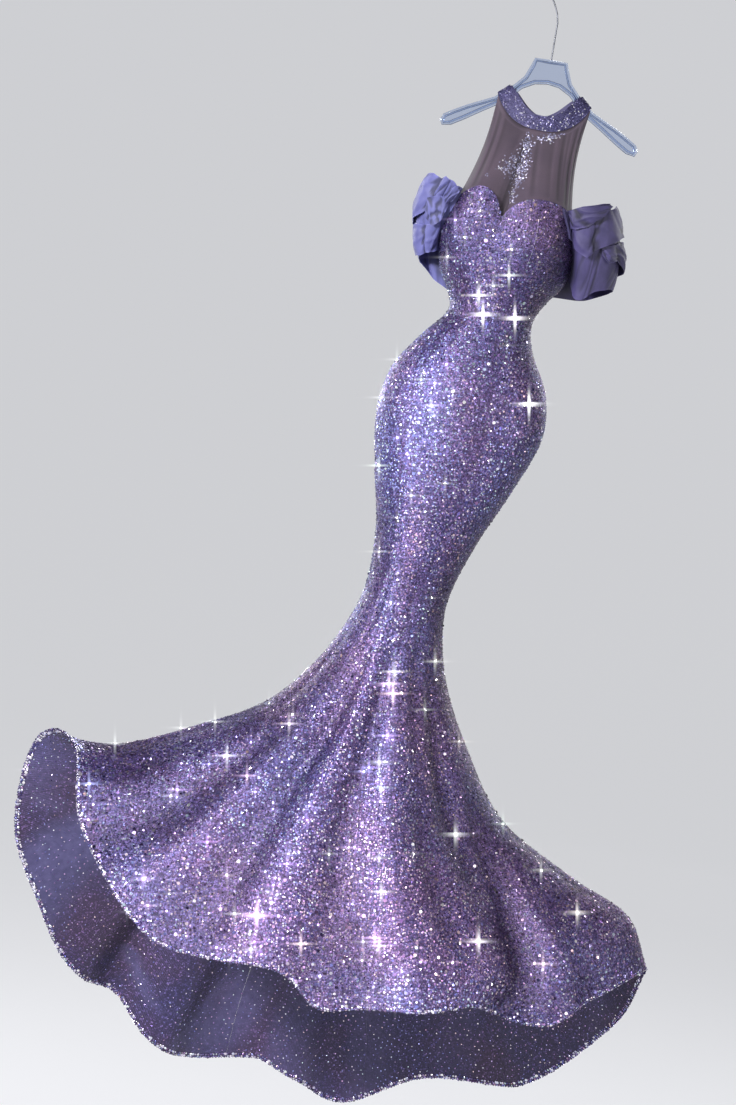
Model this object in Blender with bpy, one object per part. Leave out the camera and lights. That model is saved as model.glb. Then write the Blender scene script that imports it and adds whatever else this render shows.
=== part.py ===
"""Evening gown on a clear hanger: a fitted mermaid gown with a trumpet skirt and a train.

Metres, +Z up.  The origin is the inside top of the hanger's hook.  -Y is the front of the gown,
which is swept to -X below the knee.  An angle round the gown is 0 at the front, +90 degrees at
+X, 180 at the back and -90 at -X.
"""
import math

import bmesh
import bpy
import numpy as np

COLLECTION = "evening_gown"

# ---- driving dimensions -------------------------------------------------------------------
CLOTH = 0.0020           # beaded cloth with its backing
ORGANZA = 0.0012         # sleeve ruffles
TULLE = 0.0010           # sheer yoke
SEAM_GAP = 0.0004        # between neighbouring pieces
FRONT_TURN = -11.0       # degrees: the bodice faces a little to -X

BAND_HALF_SPAN = 0.0800  # neckband, from its middle to where it crosses a hanger arm
BAND_DEPTH = 0.0380      # neckband, front or back, from the hanger's plane
BAND_WIDTH = 0.0280      # at the throat and over the arms
BAND_EXTRA = 0.0105      # wider than that between the two
BAND_FRONT_Z = -0.2830   # middle of the band at the throat
BAND_BACK_Z = -0.2740    # and at the nape
BAND_FRONT_CURVE = 2.3   # how late the band rises to the arm: 1 is at once
BAND_BACK_CURVE = 1.5
ARM_CLEARANCE = 0.0012   # between the band and the hanger's arm
TAB_HALF_ANGLE = 9.0     # nape tab, degrees round the neckband
TAB_MARGIN = 0.16        # of the band's width that it leaves bare above and below
TAB_THICK = 0.0016

YOKE_BAND_ANGLE = 74.0   # how far round the neckband the yoke is sewn, degrees
YOKE_SIDE_COLUMNS = (3, 6)   # columns of cloth past the centre front, at -X and at +X
YOKE_EDGE, YOKE_TUCK = .06, .75   # its lower part, as shares of the cups' first row
YOKE_FALL = 0.9          # the share of its length that shows above the cups
YOKE_GAP = 0.0012        # to the neckband and the cups
YOKE_HOLLOW = 0.0100     # how far each side edge curves in
YOKE_FOLDS, YOKE_FOLD_DEPTH = 4.0, 0.0016

RUFFLE_WAVES, RUFFLE_DEPTH = 5.0, 0.0030   # round each sleeve loop
SLEEVE_GAP = 0.0010      # from a sleeve loop to the bodice's outer face
SEAT_REACH = 0.25        # how far along a loop its seat's line is still felt
PETAL_SPLIT, PETAL_ROWS = 3, 5   # columns of cloth between two ribs of a petal, and its rows
GATHER_SPLIT, GATHER_ROWS = 4, 4

HANGER_HALF_DEPTH = 0.0060
HANGER_ROUNDING = 0.0040
HOOK_RADIUS = 0.0220     # inside of the hook's bow
HOOK_TURN, HOOK_STEP = 192, 16   # degrees of bow, and between two of its points
HOOK_TIP = (.86, -.58)   # the wire's end, in bow radii from the bow's middle
SHANK = ((.0, -.1200), (.0, -.0850), (-.0035, -.0680), (-.0105, -.0520), (-.0185, -.0380))
WIRE_RADIUS = 0.0016

BODY_COLUMNS = {"centre_front": 8, "side_front": 10, "loop_side": 16, "side_back": 12,
                "centre_back": 6}
BODY_ROWS = 30

# ---- tables --------------------------------------------------------------------------------
# Rings round the gown, top to bottom.  At -X, +X, front and back each gives its reach and its
# height.  cup: how far the two cups stand out.  edge: share of the neckline's shape.
# wave: share of the hem's waves.
RING_COLUMNS = ("name", "left_x", "left_z", "right_x", "right_z",
                "front_y", "front_z", "back_y", "back_z", "cup", "edge", "wave")
RINGS = (
    ("neckline", -.150, -.485, .104, -.485, -.100, -.440, .098, -.560, .000, 1.0, .00),
    ("bust", -.151, -.520, .108, -.524, -.098, -.505, .097, -.600, .024, 0.0, .00),
    ("under_bust", -.145, -.575, .095, -.575, -.091, -.570, .088, -.628, .012, 0.0, .00),
    ("ribs", -.124, -.615, .065, -.615, -.079, -.618, .078, -.650, .003, 0.0, .00),
    ("waist", -.114, -.655, .046, -.658, -.072, -.662, .073, -.680, .000, 0.0, .00),
    ("high_hip", -.155, -.708, .056, -.712, -.082, -.718, .092, -.730, .000, 0.0, .00),
    ("hip", -.203, -.780, .093, -.785, -.098, -.785, .118, -.795, .000, 0.0, .00),
    ("low_hip", -.217, -.868, .101, -.868, -.106, -.868, .122, -.870, .000, 0.0, .00),
    ("thigh", -.202, -.978, .062, -.975, -.101, -.975, .104, -.980, .000, 0.0, .00),
    ("low_thigh", -.182, -1.085, .012, -1.085, -.090, -1.085, .088, -1.090, .000, 0.0, .00),
    ("knee", -.183, -1.195, -.024, -1.195, -.080, -1.195, .080, -1.200, .000, 0.0, .00),
    ("flare", -.206, -1.270, -.024, -1.270, -.084, -1.280, .088, -1.290, .000, 0.0, .00),
    ("trumpet", -.252, -1.355, .000, -1.362, -.104, -1.380, .116, -1.400, .000, 0.0, .02),
    ("bell", -.330, -1.446, .054, -1.466, -.148, -1.500, .176, -1.550, .000, 0.0, .07),
    ("sweep", -.450, -1.520, .146, -1.595, -.204, -1.640, .246, -1.740, .000, 0.0, .20),
    ("low_sweep", -.590, -1.588, .300, -1.686, -.256, -1.790, .310, -1.945, .000, 0.0, .45),
    ("flounce", -.690, -1.604, .418, -1.745, -.284, -1.885, .348, -2.085, .000, 0.0, .75),
    ("hem", -.735, -1.600, .470, -1.840, -.305, -1.950, .375, -2.200, .000, 0.0, 1.0),
)

# The sweetheart neckline and the low back edge, from the front middle towards -X and round.
# Columns: x, y, z.
NECKLINE = (
    (-.047, -.101, -.477), (-.053, -.104, -.461), (-.064, -.108, -.440), (-.090, -.108, -.426),
    (-.116, -.092, -.435), (-.137, -.064, -.455), (-.149, -.030, -.478), (-.151, .010, -.498),
    (-.132, .060, -.524), (-.084, .092, -.545), (-.022, .100, -.552), (.040, .094, -.545),
    (.088, .062, -.524), (.106, .012, -.500), (.102, -.030, -.478), (.086, -.066, -.452),
    (.060, -.096, -.438), (.026, -.110, -.434), (-.010, -.110, -.441), (-.038, -.104, -.463),
)

# The hem, from the back middle towards -X and round by the front.  Columns: x, y, z.
HEM = (
    (-.073, .395, -2.242), (-.158, .350, -2.204), (-.243, .372, -2.170), (-.380, .335, -2.189),
    (-.463, .290, -2.159), (-.536, .282, -2.085), (-.605, .232, -2.055), (-.662, .205, -2.003),
    (-.713, .150, -1.909), (-.770, .110, -1.792), (-.774, .060, -1.665), (-.755, .032, -1.592),
    (-.722, .000, -1.565), (-.688, -.034, -1.573), (-.664, -.070, -1.600),
    (-.642, -.130, -1.698), (-.587, -.185, -1.780),
    (-.468, -.255, -1.889), (-.357, -.268, -1.910), (-.223, -.292, -1.910),
    (-.143, -.318, -1.957), (-.057, -.298, -1.950), (.048, -.300, -1.942),
    (.145, -.258, -1.918), (.283, -.208, -1.937), (.352, -.145, -1.889), (.467, -.010, -1.827),
    (.444, .135, -1.946), (.297, .285, -2.121), (.085, .350, -2.160),
)

# Soft folds of the skirt.  Angles and widths in degrees, depth in metres inwards (a ridge is
# negative), begin and full as ring numbers.
FOLD_COLUMNS = ("top_angle", "hem_angle", "width", "depth", "begin", "full")
FOLDS = (
    (-22, -32, 9, .020, 11.0, 13.5),
    (-10, -17, 8, -.010, 11.0, 13.5),
    (3, -2, 7, .020, 10.6, 13.0),
    (22, 16, 8, -.012, 11.0, 13.5),
    (50, 42, 8, .014, 11.2, 13.5),
    (66, 35, 6, .026, 13.2, 15.3),
    (-50, -56, 9, .014, 12.5, 14.5),
    (104, 98, 10, .014, 11.5, 14.0),
    (138, 132, 9, .022, 11.5, 14.0),
    (164, 166, 8, .020, 11.2, 14.0),
    (188, 190, 8, .022, 11.2, 14.0),
    (214, 212, 8, .022, 11.5, 14.0),
    (238, 236, 8, .018, 12.0, 14.5),
)
CUP_ANGLE, CUP_WIDTH = 36.0, 25.0

# Gores: name, columns' kind, the angles of its two seams from the turned front middle.
GORES = (
    ("centre_front", "centre_front", -28.0, 28.0),
    ("side_front_right", "side_front", 28.0, 90.0),
    ("side_back_right", "side_back", 90.0, 152.0),
    ("centre_back_right", "centre_back", 152.0, 180.0),
    ("centre_back_left", "centre_back", 180.0, 208.0),
    ("side_back_left", "side_back", 208.0, 270.0),
    ("side_front_left", "loop_side", 270.0, 332.0),
)

# Sleeve loops.  A rib joins the loop's top edge to its lower edge.  The first and last ribs sit
# on the bodice, at an angle round it and between two ring numbers.  out: how far the middle of
# the rib stands out from a straight line.
SLEEVE_SEATS = {
    "left": {"front": (-46.0, 0.02, -82.0, 1.55), "back": (-120.0, 0.25, -112.0, 2.95)},
    "right": {"front": (42.0, 0.02, 82.0, 1.75), "back": (118.0, 0.25, 106.0, 2.50)},
}
RIB_COLUMNS = ("top_x", "top_y", "top_z", "low_x", "low_y", "low_z", "out")
SLEEVE_RIBS = {
    "left": (
        (-.148, -.092, -.424, -.164, -.028, -.556, .006),
        (-.178, -.062, -.421, -.181, -.022, -.560, .012),
        (-.193, -.014, -.428, -.187, .012, -.568, .016),
        (-.180, .045, -.452, -.158, .050, -.594, .012),
    ),
    "right": (
        (.104, -.096, -.432, .120, -.034, -.601, .004),
        (.143, -.074, -.424, .158, -.036, -.578, .007),
        (.168, -.016, -.428, .188, .000, -.570, .012),
        (.154, .045, -.452, .142, .050, -.592, .010),
    ),
}

# Petals on a sleeve loop.  A petal is straight from one rib to the next and folded at each.
# A rib runs from its top to its low end: each is a place along the loop (0 front seat, 1 back
# seat) and down it (0 top edge, 1 lower edge), with its lift above it.  bow: how far the rib's
# middle stands off its own straight line.
PETAL_COLUMNS = ("top_along", "top_down", "top_lift", "low_along", "low_down", "low_lift", "bow")
PETALS = {
    "left": {
        "strap": (
            (.030, -.10, .000, .015, .00, .000, .000),
            (.090, -.05, .004, .050, .08, .005, .002),
            (.145, .02, .007, .090, .17, .008, .002),
            (.180, .11, .009, .130, .24, .010, .002),
            (.205, .19, .011, .165, .28, .011, .001),
        ),
        "tongue": (
            (.170, .22, .000, .080, .24, .000, .000),
            (.250, .23, .008, .105, .33, .008, -.003),
            (.335, .28, .013, .140, .44, .013, -.005),
            (.320, .42, .016, .180, .53, .016, -.005),
            (.285, .55, .015, .235, .62, .015, -.002),
        ),
        "lobe": (
            (.220, .01, .000, .240, .30, .001, .000),
            (.265, -.03, .005, .295, .35, .006, .001),
            (.325, .01, .000, .340, .42, .002, .000),
            (.420, -.05, .005, .440, .52, .009, .003),
            (.530, -.07, .007, .550, .56, .004, .004),
            (.620, -.03, .008, .640, .54, .001, .001),
            (.680, .08, .010, .700, .44, .000, .000),
            (.740, .12, .003, .750, .36, .000, .000),
        ),
        "lower": (
            (.100, .52, .000, .100, .97, .001, .000),
            (.200, .56, .003, .200, .985, .004, .001),
            (.280, .62, .007, .270, .99, .007, .002),
            (.340, .64, .002, .340, 1.00, .002, .000),
            (.420, .62, .005, .410, 1.02, .005, .002),
            (.520, .62, .003, .540, .99, .004, .001),
            (.620, .60, .000, .640, .92, .001, .000),
        ),
        "back": (
            (.790, .04, .000, .800, .40, .002, .000),
            (.840, -.04, .005, .850, .62, .009, .003),
            (.880, .01, .001, .890, .56, .003, .000),
            (.930, -.02, .004, .940, .66, .007, .002),
            (.980, .03, .000, .985, .50, .001, .000),
        ),
    },
    "right": {
        "upper": (
            (.010, .00, .000, .030, .19, .006, .001),
            (.050, .00, .003, .120, .215, .011, .003),
            (.100, .00, .001, .220, .20, .008, .000),
            (.190, -.01, .004, .280, .15, .011, .002),
            (.300, -.02, .007, .350, .09, .012, .001),
            (.405, -.04, .009, .425, -.01, .010, .000),
        ),
        "middle": (
            (.030, .23, .000, .020, .32, .001, .000),
            (.130, .15, .002, .120, .43, .008, .001),
            (.240, .11, .003, .235, .525, .011, .002),
            (.290, .10, .001, .290, .48, .005, .000),
            (.370, .06, .004, .390, .44, .010, .002),
            (.460, .01, .005, .500, .36, .009, .001),
            (.530, -.05, .006, .600, .29, .007, .001),
            (.600, -.02, .007, .660, .24, .004, .001),
            (.680, .06, .003, .700, .20, .001, .000),
        ),
        "outer": (
            (.360, .46, .000, .375, .56, .001, .000),
            (.420, .45, .002, .420, .655, .008, .001),
            (.480, .43, .001, .500, .62, .004, .000),
            (.550, .37, .003, .560, .68, .008, .001),
            (.620, .34, .005, .630, .74, .008, .003),
            (.700, .34, .005, .720, .74, .007, .003),
            (.780, .37, .001, .800, .66, .001, .000),
        ),
        "back": (
            (.745, .00, .000, .760, .28, .002, .000),
            (.810, -.05, .005, .850, .52, .009, .003),
            (.870, .01, .001, .890, .50, .003, .000),
            (.920, -.03, .004, .935, .62, .007, .002),
            (.975, .04, .000, .985, .48, .001, .000),
        ),
    },
}

# The pleats that gather a sleeve over the cup's edge, beside its front seat.  from_seat, to_seat:
# degrees from the seat towards the front middle; top_down, low_down: places down the seat.
GATHERS_COLUMNS = ("side", "from_seat", "to_seat", "top_down", "low_down", "pleats", "depth")
GATHERS = (
    ("right", 8.0, 1.6, .02, .36, 3, .0026),
)

# Half of the hanger's outline at +X, from the head's middle to the middle of the arch below it.
HANGER_OUTLINE = (
    (.000, -.1560), (.032, -.1560), (.036, -.1700), (.046, -.1950), (.062, -.2130),
    (.095, -.2420), (.120, -.2540), (.145, -.2660), (.170, -.2800),
    (.186, -.2900), (.191, -.3020), (.186, -.3130), (.168, -.3090), (.145, -.2950),
    (.115, -.2750), (.085, -.2560), (.062, -.2360), (.045, -.2190), (.023, -.2070),
    (.000, -.2035),
)
HEAD_TOP = HANGER_OUTLINE[0][1]
ARM_TOP = ((.062, -.2130), (.095, -.2420))   # the stretch of arm that the neckband lies on

MATERIALS = {                    # base colour, roughness, metallic, alpha
    "sequined_cloth": ((.47, .40, .66), .42, .25, 1.0),
    "beaded_band": ((.40, .36, .72), .40, .20, 1.0),
    "organza": ((.40, .37, .68), .60, .00, 1.0),
    "tulle": ((.40, .30, .36), .70, .00, .75),
    "acrylic": ((.75, .80, .88), .06, .00, .45),
    "hook_steel": ((.60, .62, .66), .25, 1.0, 1.0),
}


# ---- the gown's form -----------------------------------------------------------------------
def bump(offset, width):
    return np.exp(-(offset / width) ** 2)


def smooth_step(value, begin, full):
    share = np.clip((value - begin) / (full - begin), 0.0, 1.0)
    return share * share * (3.0 - 2.0 * share)


def turn_between(angle, other):
    """Signed difference of two angles in degrees, within half a turn."""
    return (angle - other + 180.0) % 360.0 - 180.0


def plain_ring(ring, degrees):
    """Points of a ring before its edge's shape and waves are added."""
    angle = np.radians(degrees)
    side, ahead = np.sin(angle), np.cos(angle)
    middle = (ring["left_x"] + ring["right_x"]) / 2
    half_width = (ring["right_x"] - ring["left_x"]) / 2
    depth = np.where(ahead > 0, ring["front_y"], -ring["back_y"])
    side_z = np.where(side > 0, ring["right_z"], ring["left_z"])
    ahead_z = np.where(ahead > 0, ring["front_z"], ring["back_z"])
    cups = ring["cup"] * (bump(turn_between(degrees, FRONT_TURN - CUP_ANGLE), CUP_WIDTH)
                          + bump(turn_between(degrees, FRONT_TURN + CUP_ANGLE), CUP_WIDTH))
    x = middle + half_width * side + cups * side
    y = depth * ahead - cups * ahead
    z = side_z * side ** 2 + ahead_z * ahead ** 2
    return np.stack([x, y, z], axis=-1)


def edge_offsets(ring, points):
    """Angles of an edge's points round a ring, and how far each is from the plain ring."""
    points = np.array(points)
    middle = (ring["left_x"] + ring["right_x"]) / 2
    half_width = (ring["right_x"] - ring["left_x"]) / 2
    depth = np.where(points[:, 1] < 0, -ring["front_y"], ring["back_y"])
    degrees = np.degrees(np.arctan2((points[:, 0] - middle) / half_width,
                                    -points[:, 1] / depth)) % 360.0
    order = np.argsort(degrees)
    degrees, points = degrees[order], points[order]
    return degrees, points - plain_ring(ring, degrees)


def round_curve(knots, values, degrees):
    """A smooth closed curve through values at the knots' angles."""
    count = len(knots)
    degrees = degrees % 360.0
    start = np.searchsorted(knots, degrees, side="right") - 1
    before, after, far = (start - 1) % count, (start + 1) % count, (start + 2) % count
    start = start % count
    length = (knots[after] - knots[start]) % 360.0
    share = (((degrees - knots[start]) % 360.0) / length)[..., None]
    slope_start = (values[after] - values[before]) * (
        length / ((knots[after] - knots[before]) % 360.0))[..., None]
    slope_after = (values[far] - values[start]) * (
        length / ((knots[far] - knots[start]) % 360.0))[..., None]
    return hermite(values[start], values[after], slope_start, slope_after, share)


def hermite(start, end, slope_start, slope_end, share):
    square, cube = share ** 2, share ** 3
    return ((2 * cube - 3 * square + 1) * start + (cube - 2 * square + share) * slope_start
            + (3 * square - 2 * cube) * end + (cube - square) * slope_end)


RING_ROWS = [dict(zip(RING_COLUMNS, row)) for row in RINGS]
LAST_RING = len(RING_ROWS) - 1
NECK_OFFSETS = edge_offsets(RING_ROWS[0], NECKLINE)
HEM_OFFSETS = edge_offsets(RING_ROWS[-1], HEM)


def shaped_ring(number, degrees):
    ring = RING_ROWS[number]
    points = plain_ring(ring, degrees)
    if ring["edge"]:
        points = points + ring["edge"] * round_curve(*NECK_OFFSETS, degrees)
    if ring["wave"]:
        points = points + ring["wave"] * round_curve(*HEM_OFFSETS, degrees)
    return points


def ring_knots():
    """Mean length of cloth from the neckline to each ring."""
    around = np.arange(0.0, 360.0, 30.0)
    loops = [shaped_ring(number, around) for number in range(LAST_RING + 1)]
    steps = [np.linalg.norm(b - a, axis=-1).mean() for a, b in zip(loops, loops[1:])]
    return np.concatenate([[0.0], np.cumsum(steps)])


KNOTS = ring_knots()


def unfolded(degrees, level):
    """The gown's surface without folds; level is a ring number, with parts of a step."""
    level = np.clip(level, 0.0, LAST_RING)
    start = np.minimum(level.astype(int), LAST_RING - 1)
    share = (level - start)[..., None]
    result = np.empty(degrees.shape + (3,))
    for number in range(LAST_RING):
        here = start == number
        if not here.any():
            continue
        angles = degrees[here]
        first, last = max(number - 1, 0), min(number + 2, LAST_RING)
        low, high = shaped_ring(number, angles), shaped_ring(number + 1, angles)
        length = KNOTS[number + 1] - KNOTS[number]
        slope_low = ((high - shaped_ring(first, angles))
                     * length / (KNOTS[number + 1] - KNOTS[first]))
        slope_high = ((shaped_ring(last, angles) - low)
                      * length / (KNOTS[last] - KNOTS[number]))
        result[here] = hermite(low, high, slope_low, slope_high, share[here])
    return result


def normals_of(surface, first, second, first_step, second_step, second_end):
    """Unit normals of surface(first, second) from nearby points."""
    ahead = np.where(second + second_step > second_end, -second_step, second_step)
    across = surface(first + first_step, second) - surface(first - first_step, second)
    along = (surface(first, second + ahead) - surface(first, second)) * np.sign(ahead)[..., None]
    normal = np.cross(along, across)
    return normal / np.linalg.norm(normal, axis=-1, keepdims=True)


def gown(degrees, level):
    """The outer face of the gown, folds and all."""
    points = unfolded(degrees, level)
    depth = np.zeros(degrees.shape)
    for row in FOLDS:
        fold = dict(zip(FOLD_COLUMNS, row))
        share = np.clip((level - fold["begin"]) / (LAST_RING - fold["begin"]), 0.0, 1.0)
        centre = fold["top_angle"] + (fold["hem_angle"] - fold["top_angle"]) * share
        depth += (fold["depth"] * bump(turn_between(degrees, centre), fold["width"])
                  * smooth_step(level, fold["begin"], fold["full"]))
    if not depth.any():
        return points
    inward = -normals_of(unfolded, degrees, level, .05, .01, LAST_RING)
    return points + inward * depth[..., None]


def gown_normals(degrees, level):
    return normals_of(gown, degrees, level, .1, .01, LAST_RING)


# ---- making solids -------------------------------------------------------------------------
def make_material(name):
    colour, roughness, metallic, alpha = MATERIALS[name]
    material = bpy.data.materials.new(name)
    material.use_nodes = True
    shader = material.node_tree.nodes["Principled BSDF"]
    shader.inputs["Base Color"].default_value = (*colour, 1.0)
    shader.inputs["Roughness"].default_value = roughness
    shader.inputs["Metallic"].default_value = metallic
    shader.inputs["Alpha"].default_value = alpha
    return material


def link(name, data, material_name):
    data.materials.append(bpy.data.materials[material_name])
    thing = bpy.data.objects.new(name, data)
    bpy.data.collections[COLLECTION].objects.link(thing)
    return thing


def wall(name, surface, columns, rows, thickness, material_name, corner=40.0):
    """A cloth wall: a grid laid on surface(u, v), which gives outer points and normals."""
    shape = bmesh.new()
    bmesh.ops.create_grid(shape, x_segments=columns, y_segments=rows, size=1.0)
    grid = np.array([vert.co[:2] for vert in shape.verts]) / 2 + 0.5
    outer, normals = surface(grid[:, 0], grid[:, 1])
    count = len(shape.verts)
    extruded = bmesh.ops.extrude_face_region(shape, geom=shape.faces[:], use_keep_orig=True)
    shape.verts.ensure_lookup_table()
    new_verts = [item for item in extruded["geom"] if isinstance(item, bmesh.types.BMVert)]
    places = {tuple(np.round(place, 6)): index for index, place in enumerate(grid)}
    for vert in new_verts:
        index = places[tuple(np.round(np.array(vert.co[:2]) / 2 + 0.5, 6))]
        vert.co = outer[index] - normals[index] * thickness
    for index in range(count):
        shape.verts[index].co = outer[index]
    bmesh.ops.recalc_face_normals(shape, faces=shape.faces[:])
    if shape.calc_volume(signed=True) < 0:
        bmesh.ops.reverse_faces(shape, faces=shape.faces[:])
    mesh = bpy.data.meshes.new(name)
    shape.to_mesh(mesh)
    shape.free()
    mesh.shade_smooth()
    mesh.set_sharp_from_angle(angle=math.radians(corner))
    return link(name, mesh, material_name)


def make_gore(name, kind, start, end):
    """One gore from the neckline or back edge to the hem, short of its seams by half the gap."""
    low, high = FRONT_TURN + start, FRONT_TURN + end

    def surface(u, v):
        degrees = low + (high - low) * u
        level = LAST_RING * (1.0 - v)
        points, normals = gown(degrees, level), gown_normals(degrees, level)
        across = gown(degrees + .1, level) - gown(degrees - .1, level)
        across /= np.linalg.norm(across, axis=-1, keepdims=True)
        shift = SEAM_GAP / 2 * ((u < 1e-6).astype(float) - (u > 1 - 1e-6).astype(float))
        return points + across * shift[:, None], normals

    return wall(name, surface, BODY_COLUMNS[kind], BODY_ROWS, CLOTH, "sequined_cloth")


# ---- neckband and yoke ---------------------------------------------------------------------
def arm_direction():
    run = np.array(ARM_TOP[1]) - np.array(ARM_TOP[0])
    return run / np.linalg.norm(run)


ARM_RUN = arm_direction()
ARM_REST_Z = (ARM_TOP[0][1] + (BAND_HALF_SPAN - ARM_TOP[0][0]) * ARM_RUN[1] / ARM_RUN[0]
              + (ARM_CLEARANCE + CLOTH) / ARM_RUN[0])


def neckband(degrees, across):
    """The band's outer face: 0 at the throat, 90 over the arm at +X; across 0 low, 1 high."""
    angle = np.radians(degrees)
    side, ahead = np.sin(angle), np.cos(angle)
    rise = np.abs(side) ** np.where(ahead > 0, BAND_FRONT_CURVE, BAND_BACK_CURVE)
    middle_z = np.where(ahead > 0, BAND_FRONT_Z, BAND_BACK_Z)
    centre = np.stack([BAND_HALF_SPAN * side, -BAND_DEPTH * ahead,
                       middle_z + (ARM_REST_Z - middle_z) * rise], axis=-1)
    lean = side ** 2
    up = np.stack([-ARM_RUN[0] * lean * np.sign(side), np.zeros_like(side),
                   1.0 - lean - ARM_RUN[1] * lean], axis=-1)
    up /= np.linalg.norm(up, axis=-1, keepdims=True)
    width = BAND_WIDTH + BAND_EXTRA * np.sin(2 * angle) ** 2
    return centre + up * (width * (across - 0.5))[..., None]


def band_normals(degrees, across):
    along = neckband(degrees + .5, across) - neckband(degrees - .5, across)
    up = neckband(degrees, across + .02) - neckband(degrees, across - .02)
    normal = np.cross(along, up)
    return normal / np.linalg.norm(normal, axis=-1, keepdims=True)


def make_neckband():
    """One strip round the neck, with its two ends butted at the nape."""
    end = 180.0 - math.degrees(SEAM_GAP / BAND_HALF_SPAN)

    def surface(u, v):
        degrees = -end + 2 * end * u
        return neckband(degrees, v), band_normals(degrees, v)

    wall("neckband", surface, 56, 3, CLOTH, "beaded_band")


def make_nape_tab():
    """The covered hook tab that lies over the neckband's two ends."""
    def surface(u, v):
        degrees = 180.0 - TAB_HALF_ANGLE + 2 * TAB_HALF_ANGLE * u
        across = TAB_MARGIN + (1 - 2 * TAB_MARGIN) * v
        normals = band_normals(degrees, across)
        return neckband(degrees, across) + normals * (SEAM_GAP + TAB_THICK), normals

    wall("nape_tab", surface, 4, 2, TAB_THICK, "beaded_band")


def yoke_angles():
    """The angles of the cloth's columns that the yoke is sewn behind."""
    middle, side = BODY_COLUMNS["centre_front"], BODY_COLUMNS["side_front"]
    low, high = FRONT_TURN + GORES[0][2], FRONT_TURN + GORES[0][3]
    side_step = (GORES[1][3] - GORES[1][2]) / side
    before, after = YOKE_SIDE_COLUMNS
    return np.concatenate([low - side_step * np.arange(before, 0, -1),
                           np.linspace(low, high, middle + 1),
                           high + side_step * np.arange(1, after + 1)])


YOKE_ANGLES = yoke_angles()


def behind_cups(degrees, share):
    """Just inside the cups' first row of cloth, which is straight from one level to the next."""
    row = LAST_RING / BODY_ROWS
    inside = []
    for level in (0.0, row):
        levels = np.full_like(degrees, level)
        inside.append(gown(degrees, levels)
                      - gown_normals(degrees, levels) * (CLOTH + YOKE_GAP))
    return inside[0] + (inside[1] - inside[0]) * share


def yoke(u, v):
    """The sheer front from the neckband's lower edge to the inside of the cups, v 0 to 1."""
    top_degrees = -YOKE_BAND_ANGLE + 2 * YOKE_BAND_ANGLE * u
    top = neckband(top_degrees, np.full_like(u, -YOKE_GAP / BAND_WIDTH))
    columns = len(YOKE_ANGLES) - 1
    low_degrees = np.interp(u * columns, np.arange(columns + 1), YOKE_ANGLES)
    edge = behind_cups(low_degrees, YOKE_EDGE)
    tuck = behind_cups(low_degrees, YOKE_TUCK)
    fall = np.clip(v / YOKE_FALL, 0.0, 1.0)
    tucked = np.clip((v - YOKE_FALL) / (1 - YOKE_FALL), 0.0, 1.0)[..., None]
    side = 2 * u - 1
    points = top * (1 - fall)[..., None] + edge * fall[..., None]
    points = points + tucked * (tuck - edge)
    belly = np.sin(np.pi * fall)
    points[..., 0] -= YOKE_HOLLOW * side * np.abs(side) * belly
    folds = np.sin(2 * np.pi * YOKE_FOLDS * u)
    points[..., 1] += YOKE_FOLD_DEPTH * side ** 2 * belly * folds
    return points


def make_yoke():
    def surface(u, v):
        down = 1.0 - v
        along = yoke(u + .005, down) - yoke(u - .005, down)
        up = yoke(u, down - .005) - yoke(u, down + .005)
        normals = np.cross(along, up)
        normals /= np.linalg.norm(normals, axis=-1, keepdims=True)
        return yoke(u, down), normals

    wall("yoke_front", surface, len(YOKE_ANGLES) - 1, 10, TULLE, "tulle")


# ---- sleeves -------------------------------------------------------------------------------
def sleeve_seat(side, end, down):
    """Where a sleeve loop is sewn to the bodice: a line down it, just off its outer face."""
    top_angle, top_level, low_angle, low_level = SLEEVE_SEATS[side][end]
    angles = top_angle + (low_angle - top_angle) * down
    levels = np.maximum(top_level + (low_level - top_level) * down, 0.0)
    return gown(angles, levels) + gown_normals(angles, levels) * SLEEVE_GAP


def sleeve_ribs(side):
    """Top and lower points and bow of every rib, with the seats on the bodice worked out."""
    sign = -1.0 if side == "left" else 1.0
    tops, lows, outs = [], [], []
    for end in ("front", "back"):
        seat = sleeve_seat(side, end, np.array([0.0, 1.0]))
        tops.append(seat[0])
        lows.append(seat[1])
        outs.append(0.0)
    for row in SLEEVE_RIBS[side]:
        rib = dict(zip(RIB_COLUMNS, row))
        tops.insert(-1, np.array([rib["top_x"], rib["top_y"], rib["top_z"]]))
        lows.insert(-1, np.array([rib["low_x"], rib["low_y"], rib["low_z"]]))
        outs.insert(-1, rib["out"] * sign)
    return np.array(tops), np.array(lows), np.array(outs)


RIBS = {side: sleeve_ribs(side) for side in SLEEVE_RIBS}


def open_curve(values, place):
    """A smooth open curve through evenly spaced values; place runs from 0 to 1."""
    last = len(values) - 1
    place = np.asarray(place) * last
    start = np.clip(place.astype(int), 0, last - 1)
    share = (place - start)[..., None]
    before, far = np.maximum(start - 1, 0), np.minimum(start + 2, last)
    values = values.reshape(last + 1, -1)
    slope_start = (values[start + 1] - values[before]) / (start + 1 - before)[..., None]
    slope_end = (values[far] - values[start]) / (far - start)[..., None]
    return hermite(values[start], values[start + 1], slope_start, slope_end, share)


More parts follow.
